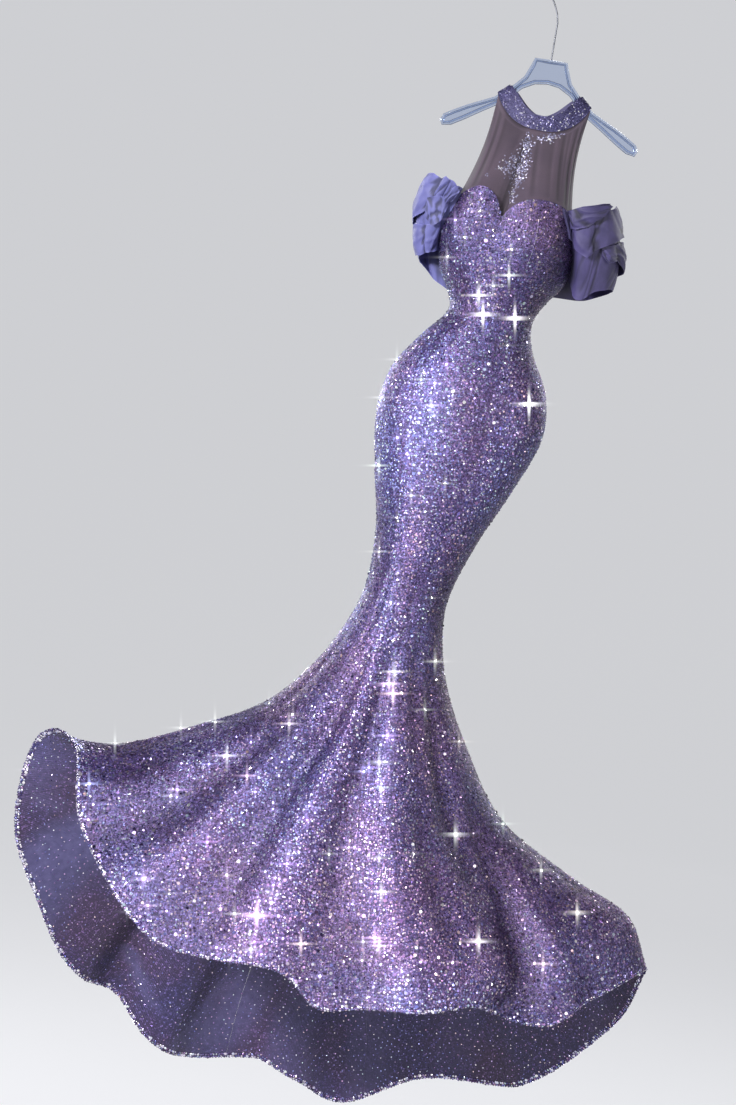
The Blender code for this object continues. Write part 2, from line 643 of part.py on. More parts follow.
def sleeve(side, along, down):
    """The outer face of a sleeve loop."""
    tops, lows, outs = RIBS[side]
    top, low = open_curve(tops, along), open_curve(lows, along)
    out = open_curve(outs, along)[..., 0]
    points = top + (low - top) * down[..., None]
    bow = 4 * down * (1 - down)
    free = np.sin(np.pi * np.clip(along, 0.0, 1.0))
    ripple = RUFFLE_DEPTH * np.sin(2 * np.pi * RUFFLE_WAVES * along) * free * (.4 + .6 * down)
    sign = -1.0 if side == "left" else 1.0
    for end, place in (("front", 0.0), ("back", 1.0)):
        near = np.clip(1.0 - np.abs(along - place) / SEAT_REACH, 0.0, 1.0) ** 2
        first = 0 if end == "front" else -1
        straight = tops[first] + (lows[first] - tops[first]) * down[..., None]
        points += near[..., None] * (sleeve_seat(side, end, down) - straight)
    points[..., 0] += out * bow + sign * ripple * .7
    points[..., 1] += np.where(along < .5, -1.0, 1.0) * ripple * np.abs(along - .5)
    return points


def sleeve_normals(side, along, down):
    run = sleeve(side, along + .005, down) - sleeve(side, along - .005, down)
    fall = sleeve(side, along, down + .01) - sleeve(side, along, down - .01)
    normal = np.cross(run, fall) * (1.0 if side == "left" else -1.0)
    return normal / np.linalg.norm(normal, axis=-1, keepdims=True)


def make_sleeve(side):
    def surface(u, v):
        inner = np.clip(u, .006, .994)
        return sleeve(side, u, 1.0 - v), sleeve_normals(side, inner, 1.0 - v)

    wall(f"sleeve_{side}_loop", surface, 26, 6, ORGANZA, "organza")
    for name, ribs in PETALS[side].items():
        make_petal(side, name, np.array(ribs))


def on_petal(ribs, u, v):
    """Place along the loop, place down it and lift of a petal's point."""
    place = u * (len(ribs) - 1)
    start = np.clip(place.astype(int), 0, len(ribs) - 2)
    share = (place - start)[:, None]
    top_along, top_down, top_lift, low_along, low_down, low_lift, bow = (
        ribs[start] * (1 - share) + ribs[start + 1] * share).T
    return (top_along + (low_along - top_along) * v, top_down + (low_down - top_down) * v,
            top_lift + (low_lift - top_lift) * v + bow * 4 * v * (1 - v))


def make_petal(side, name, ribs):
    """A ruffle petal, sewn to the loop along its root and standing off it below."""
    lift = ORGANZA + SEAM_GAP

    def petal(u, v):
        along, down, rise = on_petal(ribs, u, v)
        base = np.clip(along, .02, .98)
        return sleeve(side, along, down) + sleeve_normals(side, base, down) * (
            lift + rise)[:, None]

    def surface(u, v):
        down = 1.0 - v
        run = petal(u + .01, down) - petal(u - .01, down)
        fall = petal(u, down + .01) - petal(u, down - .01)
        normals = np.cross(run, fall) * (1.0 if side == "left" else -1.0)
        normals /= np.linalg.norm(normals, axis=-1, keepdims=True)
        return petal(u, down), normals

    wall(f"sleeve_{side}_petal_{name}", surface, PETAL_SPLIT * (len(ribs) - 1),
         PETAL_ROWS, ORGANZA, "organza")


def make_gathers(side, from_seat, to_seat, top_down, low_down, pleats, depth):
    """A narrow strip of organza on the cup, pleated lengthwise."""
    toward = -1.0 if side == "right" else 1.0
    top_angle, top_level, low_angle, low_level = SLEEVE_SEATS[side]["front"]

    def surface(u, v):
        down = top_down + (low_down - top_down) * (1.0 - v)
        degrees = (top_angle + (low_angle - top_angle) * down
                   + toward * (from_seat + (to_seat - from_seat) * u))
        level = np.maximum(top_level + (low_level - top_level) * down, 0.0)
        pleat = depth * (.5 - .5 * np.cos(2 * np.pi * pleats * u))
        face = gown_normals(degrees, level)
        return gown(degrees, level) + face * (ORGANZA + SEAM_GAP + pleat)[:, None], face

    wall(f"sleeve_{side}_gathers", surface, GATHER_SPLIT * pleats, GATHER_ROWS, ORGANZA, "organza")


# ---- hanger --------------------------------------------------------------------------------
def make_hanger():
    """A clear moulded hanger: its outline, rounded over at the front and the back."""
    outline = bpy.data.curves.new("hanger_body", "CURVE")
    outline.dimensions = "2D"
    outline.fill_mode = "BOTH"
    outline.extrude = HANGER_HALF_DEPTH - HANGER_ROUNDING
    outline.bevel_depth = HANGER_ROUNDING
    outline.bevel_resolution = 1
    outline.offset = -HANGER_ROUNDING
    half = list(HANGER_OUTLINE)
    points = half + [(-x, z) for x, z in reversed(half[1:-1])]
    spline = outline.splines.new("POLY")
    spline.points.add(len(points) - 1)
    for point, (x, z) in zip(spline.points, points):
        point.co = (x, z, 0.0, 1.0)
    spline.use_cyclic_u = True
    thing = link("hanger_body", outline, "acrylic")
    thing.rotation_euler = (math.radians(90), 0, 0)


def hook_route():
    """The wire's middle line: up the shank, out to -X, over the bow and down at +X."""
    radius = HOOK_RADIUS + WIRE_RADIUS
    centre_z = -HOOK_RADIUS
    route = [(0.0, HEAD_TOP + SEAM_GAP), *SHANK]
    for turned in range(0, HOOK_TURN + 1, HOOK_STEP):
        angle = math.radians(180 - turned)
        route.append((radius * math.cos(angle), centre_z + radius * math.sin(angle)))
    route.append((radius * HOOK_TIP[0], centre_z + radius * HOOK_TIP[1]))
    return route


def make_hook():
    wire = bpy.data.curves.new("hanger_hook", "CURVE")
    wire.dimensions = "3D"
    wire.bevel_depth = WIRE_RADIUS
    wire.bevel_resolution = 2
    wire.use_fill_caps = True
    route = hook_route()
    spline = wire.splines.new("POLY")
    spline.points.add(len(route) - 1)
    for point, (x, z) in zip(spline.points, route):
        point.co = (x, 0.0, z, 1.0)
    link("hanger_hook", wire, "hook_steel")


def main():
    for thing in list(bpy.data.objects):
        bpy.data.objects.remove(thing, do_unlink=True)
    collection = bpy.data.collections.new(COLLECTION)
    bpy.context.scene.collection.children.link(collection)
    for name in MATERIALS:
        make_material(name)
    for gore in GORES:
        make_gore(*gore)
    make_neckband()
    make_nape_tab()
    make_yoke()
    for side in SLEEVE_RIBS:
        make_sleeve(side)
    for gathers in GATHERS:
        make_gathers(*gathers)
    make_hanger()
    make_hook()


main()
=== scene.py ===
"""Looks of the evening gown on its clear hanger.

Metres, +Z up, in the CAD's frame.  -Y is the front of the gown.  An angle round the gown is 0 at
the front, +90 degrees at +X, 180 at the back and -90 at -X.  A level is a ring's number, counted
from the neckline, with parts of a step.
"""
import math

import bpy
import numpy as np
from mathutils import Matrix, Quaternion, Vector


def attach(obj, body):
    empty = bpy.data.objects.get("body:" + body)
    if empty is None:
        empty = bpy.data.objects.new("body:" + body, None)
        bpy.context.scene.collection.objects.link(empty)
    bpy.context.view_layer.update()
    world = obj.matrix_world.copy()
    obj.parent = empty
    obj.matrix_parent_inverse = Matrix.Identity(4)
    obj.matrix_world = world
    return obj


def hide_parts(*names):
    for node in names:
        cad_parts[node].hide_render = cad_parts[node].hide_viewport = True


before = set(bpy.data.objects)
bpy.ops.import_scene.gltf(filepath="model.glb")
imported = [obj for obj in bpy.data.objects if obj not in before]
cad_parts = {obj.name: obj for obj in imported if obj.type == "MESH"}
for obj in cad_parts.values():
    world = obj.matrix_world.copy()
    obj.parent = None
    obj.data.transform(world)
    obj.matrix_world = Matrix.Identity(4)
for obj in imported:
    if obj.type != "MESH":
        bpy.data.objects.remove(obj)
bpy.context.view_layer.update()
RANDOM = np.random.default_rng(11)


def table(text):
    """Rows of numbers under a line with their names; words before the numbers label a row."""
    names, *rows = [line.split() for line in text.strip().splitlines()]
    return [dict(zip(names, map(float, row[-len(names):]))) for row in rows]


def grid(width, text):
    """An array with this many numbers in a row."""
    return np.array([float(word) for word in text.split()]).reshape(-1, width)


# ---- sizes, as in the CAD ----
CLOTH = 0.0020
ORGANZA = 0.0012
TULLE = 0.0010
SEAM_GAP = 0.0004
FRONT_TURN = -11.0

BAND_HALF_SPAN = 0.0800
BAND_DEPTH = 0.0380
BAND_WIDTH = 0.0280
BAND_EXTRA = 0.0105
BAND_FRONT_Z = -0.2830
BAND_BACK_Z = -0.2740
BAND_FRONT_CURVE = 2.3
BAND_BACK_CURVE = 1.5
ARM_CLEARANCE = 0.0012
TAB_HALF_ANGLE = 9.0
TAB_MARGIN = 0.16
TAB_THICK = 0.0016

YOKE_BAND_ANGLE = 74.0
YOKE_SIDE_COLUMNS = (3, 6)
YOKE_EDGE, YOKE_TUCK = .06, .75
YOKE_FALL = 0.9
YOKE_GAP = 0.0012
YOKE_HOLLOW = 0.0100
YOKE_FOLDS, YOKE_FOLD_DEPTH = 4.0, 0.0016

RUFFLE_WAVES, RUFFLE_DEPTH = 5.0, 0.0030
SLEEVE_GAP = 0.0010
SEAT_REACH = 0.25

HANGER_HALF_DEPTH = 0.0060
HANGER_RIM = 0.0042                  # radius of the rounded rim
HOOK_RADIUS = 0.0220
HOOK_TURN, HOOK_STEP = 192, 8
HOOK_TIP = (.86, -.58)
SHANK = ((.0, -.1200), (.0, -.0850), (-.0035, -.0680), (-.0105, -.0520), (-.0185, -.0380))
WIRE_RADIUS = 0.0016

# The gown's rings, from its top down.
RINGS = table("""
    left_x left_z right_x right_z front_y front_z back_y back_z cup edge wave
    neckline -.15 -.485 .104 -.485 -.1 -.44 .098 -.56 0 1 0
    bust -.151 -.52 .108 -.524 -.098 -.505 .097 -.6 .024 0 0
    under_bust -.145 -.575 .095 -.575 -.091 -.57 .088 -.628 .012 0 0
    ribs -.124 -.615 .065 -.615 -.079 -.618 .078 -.65 .003 0 0
    waist -.114 -.655 .046 -.658 -.072 -.662 .073 -.68 0 0 0
    high_hip -.155 -.708 .056 -.712 -.082 -.718 .092 -.73 0 0 0
    hip -.203 -.78 .093 -.785 -.098 -.785 .118 -.795 0 0 0
    low_hip -.217 -.868 .101 -.868 -.106 -.868 .122 -.87 0 0 0
    thigh -.202 -.978 .062 -.975 -.101 -.975 .104 -.98 0 0 0
    low_thigh -.182 -1.085 .012 -1.085 -.09 -1.085 .088 -1.09 0 0 0
    knee -.183 -1.195 -.024 -1.195 -.08 -1.195 .08 -1.2 0 0 0
    flare -.206 -1.27 -.024 -1.27 -.084 -1.28 .088 -1.29 0 0 0
    trumpet -.252 -1.355 0 -1.362 -.104 -1.38 .116 -1.4 0 0 .02
    bell -.33 -1.446 .054 -1.466 -.148 -1.5 .176 -1.55 0 0 .07
    sweep -.45 -1.52 .146 -1.595 -.204 -1.64 .246 -1.74 0 0 .2
    low_sweep -.59 -1.588 .3 -1.686 -.256 -1.79 .31 -1.945 0 0 .45
    flounce -.69 -1.604 .418 -1.745 -.284 -1.885 .348 -2.085 0 0 .75
    hem -.735 -1.6 .47 -1.84 -.305 -1.95 .375 -2.2 0 0 1""")
# x, y, z of points on the top edge and on the hem.
NECKLINE = grid(3, """
    -.047 -.101 -.477   -.053 -.104 -.461   -.064 -.108 -.44   -.09 -.108 -.426
    -.116 -.092 -.435   -.137 -.064 -.455   -.149 -.03 -.478   -.151 .01 -.498   -.132 .06 -.524
    -.084 .092 -.545   -.022 .1 -.552   .04 .094 -.545   .088 .062 -.524   .106 .012 -.5
    .102 -.03 -.478   .086 -.066 -.452   .06 -.096 -.438   .026 -.11 -.434   -.01 -.11 -.441
    -.038 -.104 -.463""")
HEM = grid(3, """
    -.073 .395 -2.242   -.158 .35 -2.204   -.243 .372 -2.17   -.38 .335 -2.189   -.463 .29 -2.159
    -.536 .282 -2.085   -.605 .232 -2.055   -.662 .205 -2.003   -.713 .15 -1.909   -.77 .11 -1.792
    -.774 .06 -1.665   -.755 .032 -1.592   -.722 0 -1.565   -.688 -.034 -1.573   -.664 -.07 -1.6
    -.642 -.13 -1.698   -.587 -.185 -1.78   -.468 -.255 -1.889   -.357 -.268 -1.91
    -.223 -.292 -1.91   -.143 -.318 -1.957   -.057 -.298 -1.95   .048 -.3 -1.942
    .145 -.258 -1.918   .283 -.208 -1.937   .352 -.145 -1.889   .467 -.01 -1.827
    .444 .135 -1.946   .297 .285 -2.121   .085 .35 -2.16""")
# Soft folds of the skirt: angles and widths in degrees, depth inwards in metres.
FOLDS = table("""
    top_angle low_angle width depth begin full
    -22 -32 9 .02 11 13.5
    -10 -17 8 -.01 11 13.5
    3 -2 7 .02 10.6 13
    22 16 8 -.012 11 13.5
    50 42 8 .014 11.2 13.5
    66 35 6 .026 13.2 15.3
    -50 -56 9 .014 12.5 14.5
    104 98 10 .014 11.5 14
    138 132 9 .022 11.5 14
    164 166 8 .02 11.2 14
    188 190 8 .022 11.2 14
    214 212 8 .022 11.5 14
    238 236 8 .018 12 14.5""")
CUP_ANGLE, CUP_WIDTH = 36.0, 25.0

BODY_COLUMNS = {"centre_front": 8, "side_front": 10, "loop_side": 16, "side_back": 12,
                "centre_back": 6}
BODY_ROWS = 30
GORES = (
    ("centre_front", "centre_front", -28.0, 28.0),
    ("side_front_right", "side_front", 28.0, 90.0),
    ("side_back_right", "side_back", 90.0, 152.0),
    ("centre_back_right", "centre_back", 152.0, 180.0),
    ("centre_back_left", "centre_back", 180.0, 208.0),
    ("side_back_left", "side_back", 208.0, 270.0),
    ("side_front_left", "loop_side", 270.0, 332.0),
)

SLEEVE_SEATS = {
    "left": {"front": (-46.0, 0.02, -82.0, 1.55), "back": (-120.0, 0.25, -112.0, 2.95)},
    "right": {"front": (42.0, 0.02, 82.0, 1.75), "back": (118.0, 0.25, 106.0, 2.50)},
}
# A rib from a sleeve loop's top edge to its lower one: x, y, z of both, and how far its middle
# stands out.
SLEEVE_RIBS = {
    "left": grid(7, """
        -.148 -.092 -.424 -.164 -.028 -.556 .006   -.178 -.062 -.421 -.181 -.022 -.56 .012
        -.193 -.014 -.428 -.187 .012 -.568 .016   -.18 .045 -.452 -.158 .05 -.594 .012"""),
    "right": grid(7, """
        .104 -.096 -.432 .12 -.034 -.601 .004   .143 -.074 -.424 .158 -.036 -.578 .007
        .168 -.016 -.428 .188 0 -.57 .012   .154 .045 -.452 .142 .05 -.592 .01"""),
}
# A rib of a petal: place along the loop, place down it and lift, of its top and of its foot, and
# how far its middle bows out.
PETALS = {
    "left": {
        "strap": grid(7, """
            .03 -.1 0 .015 0 0 0   .09 -.05 .004 .05 .08 .005 .002
            .145 .02 .007 .09 .17 .008 .002   .18 .11 .009 .13 .24 .01 .002
            .205 .19 .011 .165 .28 .011 .001"""),
        "tongue": grid(7, """
            .17 .22 0 .08 .24 0 0   .25 .23 .008 .105 .33 .008 -.003
            .335 .28 .013 .14 .44 .013 -.005   .32 .42 .016 .18 .53 .016 -.005
            .285 .55 .015 .235 .62 .015 -.002"""),
        "lobe": grid(7, """
            .22 .01 0 .24 .3 .001 0   .265 -.03 .005 .295 .35 .006 .001
            .325 .01 0 .34 .42 .002 0   .42 -.05 .005 .44 .52 .009 .003
            .53 -.07 .007 .55 .56 .004 .004   .62 -.03 .008 .64 .54 .001 .001
            .68 .08 .01 .7 .44 0 0   .74 .12 .003 .75 .36 0 0"""),
        "lower": grid(7, """
            .1 .52 0 .1 .97 .001 0   .2 .56 .003 .2 .985 .004 .001
            .28 .62 .007 .27 .99 .007 .002   .34 .64 .002 .34 1 .002 0
            .42 .62 .005 .41 1.02 .005 .002   .52 .62 .003 .54 .99 .004 .001
            .62 .6 0 .64 .92 .001 0"""),
        "back": grid(7, """
            .79 .04 0 .8 .4 .002 0   .84 -.04 .005 .85 .62 .009 .003   .88 .01 .001 .89 .56 .003 0
            .93 -.02 .004 .94 .66 .007 .002   .98 .03 0 .985 .5 .001 0"""),
    },
    "right": {
        "upper": grid(7, """
            .01 0 0 .03 .19 .006 .001   .05 0 .003 .12 .215 .011 .003   .1 0 .001 .22 .2 .008 0
            .19 -.01 .004 .28 .15 .011 .002   .3 -.02 .007 .35 .09 .012 .001
            .405 -.04 .009 .425 -.01 .01 0"""),
        "middle": grid(7, """
            .03 .23 0 .02 .32 .001 0   .13 .15 .002 .12 .43 .008 .001
            .24 .11 .003 .235 .525 .011 .002   .29 .1 .001 .29 .48 .005 0
            .37 .06 .004 .39 .44 .01 .002   .46 .01 .005 .5 .36 .009 .001
            .53 -.05 .006 .6 .29 .007 .001   .6 -.02 .007 .66 .24 .004 .001
            .68 .06 .003 .7 .2 .001 0"""),
        "outer": grid(7, """
            .36 .46 0 .375 .56 .001 0   .42 .45 .002 .42 .655 .008 .001
            .48 .43 .001 .5 .62 .004 0   .55 .37 .003 .56 .68 .008 .001
            .62 .34 .005 .63 .74 .008 .003   .7 .34 .005 .72 .74 .007 .003
            .78 .37 .001 .8 .66 .001 0"""),
        "back": grid(7, """
            .745 0 0 .76 .28 .002 0   .81 -.05 .005 .85 .52 .009 .003   .87 .01 .001 .89 .5 .003 0
            .92 -.03 .004 .935 .62 .007 .002   .975 .04 0 .985 .48 .001 0"""),
    },
}
# Pleated strips: side, degrees from the seat at both edges, places down it, pleats and their depth.
GATHERS = (("right", 8.0, 1.6, .02, .36, 3, .0026),)
OUTWARD = {"left": -1.0, "right": 1.0}   # along X

# ---- sizes of the finer form ----
COLUMN_SPLIT, ROW_SPLIT = 4, 4       # each CAD column and row of the gown is split into these
BEAD_PITCH, BEAD_RADIUS = .0046, .0018   # the small beads that cover the gown
BEAD_HEIGHT = .50                    # of a bead's radius
SEQUIN_PITCH = 0.0100                # from one sequin to the next, among the beads
SEQUIN_RADIUS = 0.0020
SEQUIN_LIFT = 0.0012
SEQUIN_TILT = 12.0                   # degrees, the usual lean from the cloth
PAILLETTE_SHARE, PAILLETTE_RADIUS = .05, .0034
GLINT_SHARE = .025                   # sequins polished enough to flash
LINING_PITCH, LINING_RADIUS = .0130, .0014   # sparse sequins that show through inside
LINING_FROM = 12.5                   # the level where those begin
HEM_PITCH, HEM_RADIUS = .0056, .0032
GOWN_CAVITY, SLEEVE_CAVITY, YOKE_CAVITY = .0060, .0018, .0009   # depths of hollow that set the painted shade in folds and the painted highlight on ridges
HEM_HIGHLIGHT_ANGLE, HEM_HIGHLIGHT_WIDTH = -84.0, 34.0   # painted highlight on the hem beads, at the loop at the left
CRYSTAL_PITCH = 0.0031
GROUND_CELL = 0.0030                 # the cloth's own fine beads, under the others
LINING_CELL = 0.0028
PETAL_COLUMNS_EACH, PETAL_ROWS = 8, 24   # between two ribs of a petal, and down it
PETAL_WRINKLE, LOOP_WRINKLE = .0016, .0012
SHARP_ANGLE = math.radians(50)       # edges sharper than this stay sharp
BAND_GRID, TAB_GRID = (224, 10), (20, 12)    # columns and rows
YOKE_GRID, LOOP_GRID = (150, 48), (130, 30)
PLEAT_COLUMNS, PLEAT_ROWS = 16, 24
# Rows of beads on the hem: up from its edge, how far they turn down, on the inner face or not.
HEM_ROWS = ((.0030, .1, 0), (-.0008, .6, 0), (.0022, .1, 1), (.0070, .0, 1))

# Creases finer than the folds: where each runs round the gown and down it, its half width in
# degrees, and its depth in metres inwards (a ridge is negative).
CREASES = table("""
    top_angle low_angle begin end width depth
    -64 -30 3.4 6.2 4 .0016
    -38 -8 3.6 5.6 3.4 -.0012
    44 18 3.4 5.9 3.6 .0015
    70 40 3.9 6.6 4.2 .0013
    -30 -36 9.2 12.6 5 .0032
    -14 -16 9.6 13 4 -.0026
    10 12 9 12.4 5 .003
    32 28 10 13.8 5 .0034
    -62 -70 10.2 14.2 6 .0036
    -40 -42 12 16.4 3.4 -.005
    -24 -25 13.4 17 2.8 .005
    -6 -9 13 16.6 3.2 -.0045
    8 7 13.6 17 3 .0048
    30 24 13.2 16.8 3.4 .0052
    60 52 13.6 17 3 -.0046
    84 78 13 16.8 3.6 .005
    -74 -72 13.4 16.6 3.4 .0046
    -88 -90 12.8 16 3 -.004
    112 114 12.6 17 3.4 -.005
    126 121 13.4 16.9 3 .0046
    150 149 12.4 16.6 3.4 -.0052
    176 177 12.2 17 3.2 -.005
    200 202 12.6 16.8 3.2 -.005
    226 224 12.4 17 3.6 -.0054
    246 248 13.2 16.8 3 .0044
    170 158 3.6 6.4 4.2 .0015
    196 208 3.4 6 3.8 .0014
    232 246 3.8 6.6 4.2 .0013
    256 256 14.6 17 2.2 .006
    226 229 14.8 17 2.4 -.0055
    207 212 14.6 17 2.6 .0065
    168 168 14 17 3 -.0045
    141 139 14.4 17 3 .0045""")
# Painted highlights on the lining: paler, smoother places where a fold turns it out to the light.
# Half widths are in degrees towards smaller and larger angles, half lengths in levels.
PAINTED_HIGHLIGHTS = table("""
    angle level width_below width_above length slant share
    251.5 16.2 9 2.6 1.5 -1.5 .95
    262.5 16.4 4.5 4 .7 0 .55
    257.6 16.1 1.2 1.2 .5 2 .5
    220.5 16.3 3.4 3.4 .22 -4 .75
    198.5 16.1 8 5 .9 5 .8
    205 16.2 2 2 .9 6 .6
    169 16.4 5 4 1.3 0 .55
    184 16.4 6 5 1.2 0 .5
    150 16.2 4 5 .8 2 .3
    116 16.5 5 4 .6 2 .25
    240 13.8 5 4 .9 0 .45
    120 14.6 5 4 .9 0 .45""")


# ---- the gown's form, as in the CAD ----
def unit(vectors):
    return vectors / np.linalg.norm(vectors, axis=-1, keepdims=True)


def running(steps):
    """Distance from the start to the end of each step."""
    return np.concatenate([[0.0], np.cumsum(steps)])


def bump(offset, width):
    return np.exp(-(offset / width) ** 2)


def smooth_step(value, begin, full):
    share = np.clip((value - begin) / (full - begin), 0.0, 1.0)
    return share * share * (3.0 - 2.0 * share)


def turn_between(angle, other):
    """Signed difference of two angles in degrees, within half a turn."""
    return (angle - other + 180.0) % 360.0 - 180.0


def plain_ring(ring, degrees):
    angle = np.radians(degrees)
    side, ahead = np.sin(angle), np.cos(angle)
    middle = (ring["left_x"] + ring["right_x"]) / 2
    half_width = (ring["right_x"] - ring["left_x"]) / 2
    depth = np.where(ahead > 0, ring["front_y"], -ring["back_y"])
    side_z = np.where(side > 0, ring["right_z"], ring["left_z"])
    ahead_z = np.where(ahead > 0, ring["front_z"], ring["back_z"])
    cups = ring["cup"] * (bump(turn_between(degrees, FRONT_TURN - CUP_ANGLE), CUP_WIDTH)
                          + bump(turn_between(degrees, FRONT_TURN + CUP_ANGLE), CUP_WIDTH))
    x = middle + half_width * side + cups * side
    y = depth * ahead - cups * ahead
    z = side_z * side ** 2 + ahead_z * ahead ** 2
    return np.stack([x, y, z], axis=-1)


def edge_offsets(ring, points):
    points = np.array(points)
    middle = (ring["left_x"] + ring["right_x"]) / 2
    half_width = (ring["right_x"] - ring["left_x"]) / 2
    depth = np.where(points[:, 1] < 0, -ring["front_y"], ring["back_y"])
    degrees = np.degrees(np.arctan2((points[:, 0] - middle) / half_width,
                                    -points[:, 1] / depth)) % 360.0
    order = np.argsort(degrees)
    degrees, points = degrees[order], points[order]
    return degrees, points - plain_ring(ring, degrees)


def hermite(start, end, slope_start, slope_end, share):
    square, cube = share ** 2, share ** 3
    return ((2 * cube - 3 * square + 1) * start + (cube - 2 * square + share) * slope_start
            + (3 * square - 2 * cube) * end + (cube - square) * slope_end)


def round_curve(knots, values, degrees):
    count = len(knots)
    degrees = degrees % 360.0
    start = np.searchsorted(knots, degrees, side="right") - 1
    before, after, far = (start - 1) % count, (start + 1) % count, (start + 2) % count
    start = start % count
    length = (knots[after] - knots[start]) % 360.0
    share = (((degrees - knots[start]) % 360.0) / length)[..., None]
    slope_start = (values[after] - values[before]) * (
        length / ((knots[after] - knots[before]) % 360.0))[..., None]
    slope_after = (values[far] - values[start]) * (
        length / ((knots[far] - knots[start]) % 360.0))[..., None]
    return hermite(values[start], values[after], slope_start, slope_after, share)


LAST_RING = len(RINGS) - 1
NECK_OFFSETS = edge_offsets(RINGS[0], NECKLINE)
HEM_OFFSETS = edge_offsets(RINGS[-1], HEM)


def shaped_ring(number, degrees):
    ring = RINGS[number]
    points = plain_ring(ring, degrees)
    if ring["edge"]:
        points = points + ring["edge"] * round_curve(*NECK_OFFSETS, degrees)
    if ring["wave"]:
        points = points + ring["wave"] * round_curve(*HEM_OFFSETS, degrees)
    return points


def ring_knots():
    around = np.arange(0.0, 360.0, 30.0)
    loops = [shaped_ring(number, around) for number in range(LAST_RING + 1)]
    steps = [np.linalg.norm(b - a, axis=-1).mean() for a, b in zip(loops, loops[1:])]
    return running(steps)


KNOTS = ring_knots()


def unfolded(degrees, level):
    level = np.clip(level, 0.0, LAST_RING)
    start = np.minimum(level.astype(int), LAST_RING - 1)
    share = (level - start)[..., None]
    result = np.empty(degrees.shape + (3,))
    for number in range(LAST_RING):
        here = start == number
        if not here.any():
            continue
        angles = degrees[here]
        first, last = max(number - 1, 0), min(number + 2, LAST_RING)
        low, high = shaped_ring(number, angles), shaped_ring(number + 1, angles)
        length = KNOTS[number + 1] - KNOTS[number]
        slope_low = ((high - shaped_ring(first, angles))
                     * length / (KNOTS[number + 1] - KNOTS[first]))
        slope_high = ((shaped_ring(last, angles) - low)
                      * length / (KNOTS[last] - KNOTS[number]))
        result[here] = hermite(low, high, slope_low, slope_high, share[here])
    return result


def normals_of(surface, first, second, first_step, second_step, second_end):
    ahead = np.where(second + second_step > second_end, -second_step, second_step)
    across = surface(first + first_step, second) - surface(first - first_step, second)
    along = (surface(first, second + ahead) - surface(first, second)) * np.sign(ahead)[..., None]
    return unit(np.cross(along, across))


def surface_normals(surface, first, second, first_step, second_step):
    """Unit normals of a surface of two coordinates."""
    along = surface(first + first_step, second) - surface(first - first_step, second)
    across = surface(first, second + second_step) - surface(first, second - second_step)
    return unit(np.cross(along, across))


def groove(row, degrees, level, end):
    """How far along a fold or crease each place is, and how deep that cuts at full reach."""
    share = np.clip((level - row["begin"]) / (end - row["begin"]), 0.0, 1.0)
    centre = row["top_angle"] + (row["low_angle"] - row["top_angle"]) * share
    return share, row["depth"] * bump(turn_between(degrees, centre), row["width"])


def fold_depth(degrees, level):
    depth = np.zeros(degrees.shape)
    for fold in FOLDS:
        depth += (groove(fold, degrees, level, LAST_RING)[1]
                  * smooth_step(level, fold["begin"], fold["full"]))
    return depth


def crease_depth(degrees, level):
    """Finer creases: most swell and die away, and those that reach the hem stay open there."""
    depth = np.zeros(degrees.shape)
    for crease in CREASES:
        share, cut = groove(crease, degrees, level, crease["end"])
        open_end = crease["end"] >= LAST_RING
        depth += cut * (smooth_step(share, 0.0, .6) if open_end else np.sin(np.pi * share) ** 2)
    return depth


def painted_highlight_share(degrees, level):
    """How much of a place on the lining is painted highlight, 0 to 1."""
    total = np.zeros(degrees.shape)
    for painted_highlight in PAINTED_HIGHLIGHTS:
        along = (level - painted_highlight["level"]) / painted_highlight["length"]
        side = turn_between(degrees, painted_highlight["angle"] + painted_highlight["slant"] * along)
        width = np.where(side > 0, painted_highlight["width_above"], painted_highlight["width_below"])
        total = np.maximum(total, painted_highlight["share"] * np.exp(-(side / width) ** 4 - along ** 4))
    return total


def gown(degrees, level):
    """The CAD's own outer face, for what is sewn to it."""
    points = unfolded(degrees, level)
    depth = fold_depth(degrees, level)
    if not depth.any():
        return points
    inward = -normals_of(unfolded, degrees, level, .05, .01, LAST_RING)
    return points + inward * depth[..., None]


def gown_normals(degrees, level):
    return normals_of(gown, degrees, level, .1, .01, LAST_RING)


def grid_normals(points):
    """Unit normals of a grid of points, stored row by row."""
    return unit(np.cross(np.gradient(points, axis=0), np.gradient(points, axis=1)))


def gown_grid(low, high, columns, rows):
    """Points and normals of the creased outer face between two angles, neckline to hem."""
    degrees = low + (high - low) / columns * np.arange(-1, columns + 2)
    level = np.linspace(0, LAST_RING, rows + 1)
    level, degrees = np.meshgrid(level, degrees, indexing="ij")
    points = unfolded(degrees, level)
    depth = fold_depth(degrees, level) + crease_depth(degrees, level)
    points = points - grid_normals(points) * depth[..., None]
    return points[:, 1:-1], grid_normals(points)[:, 1:-1]


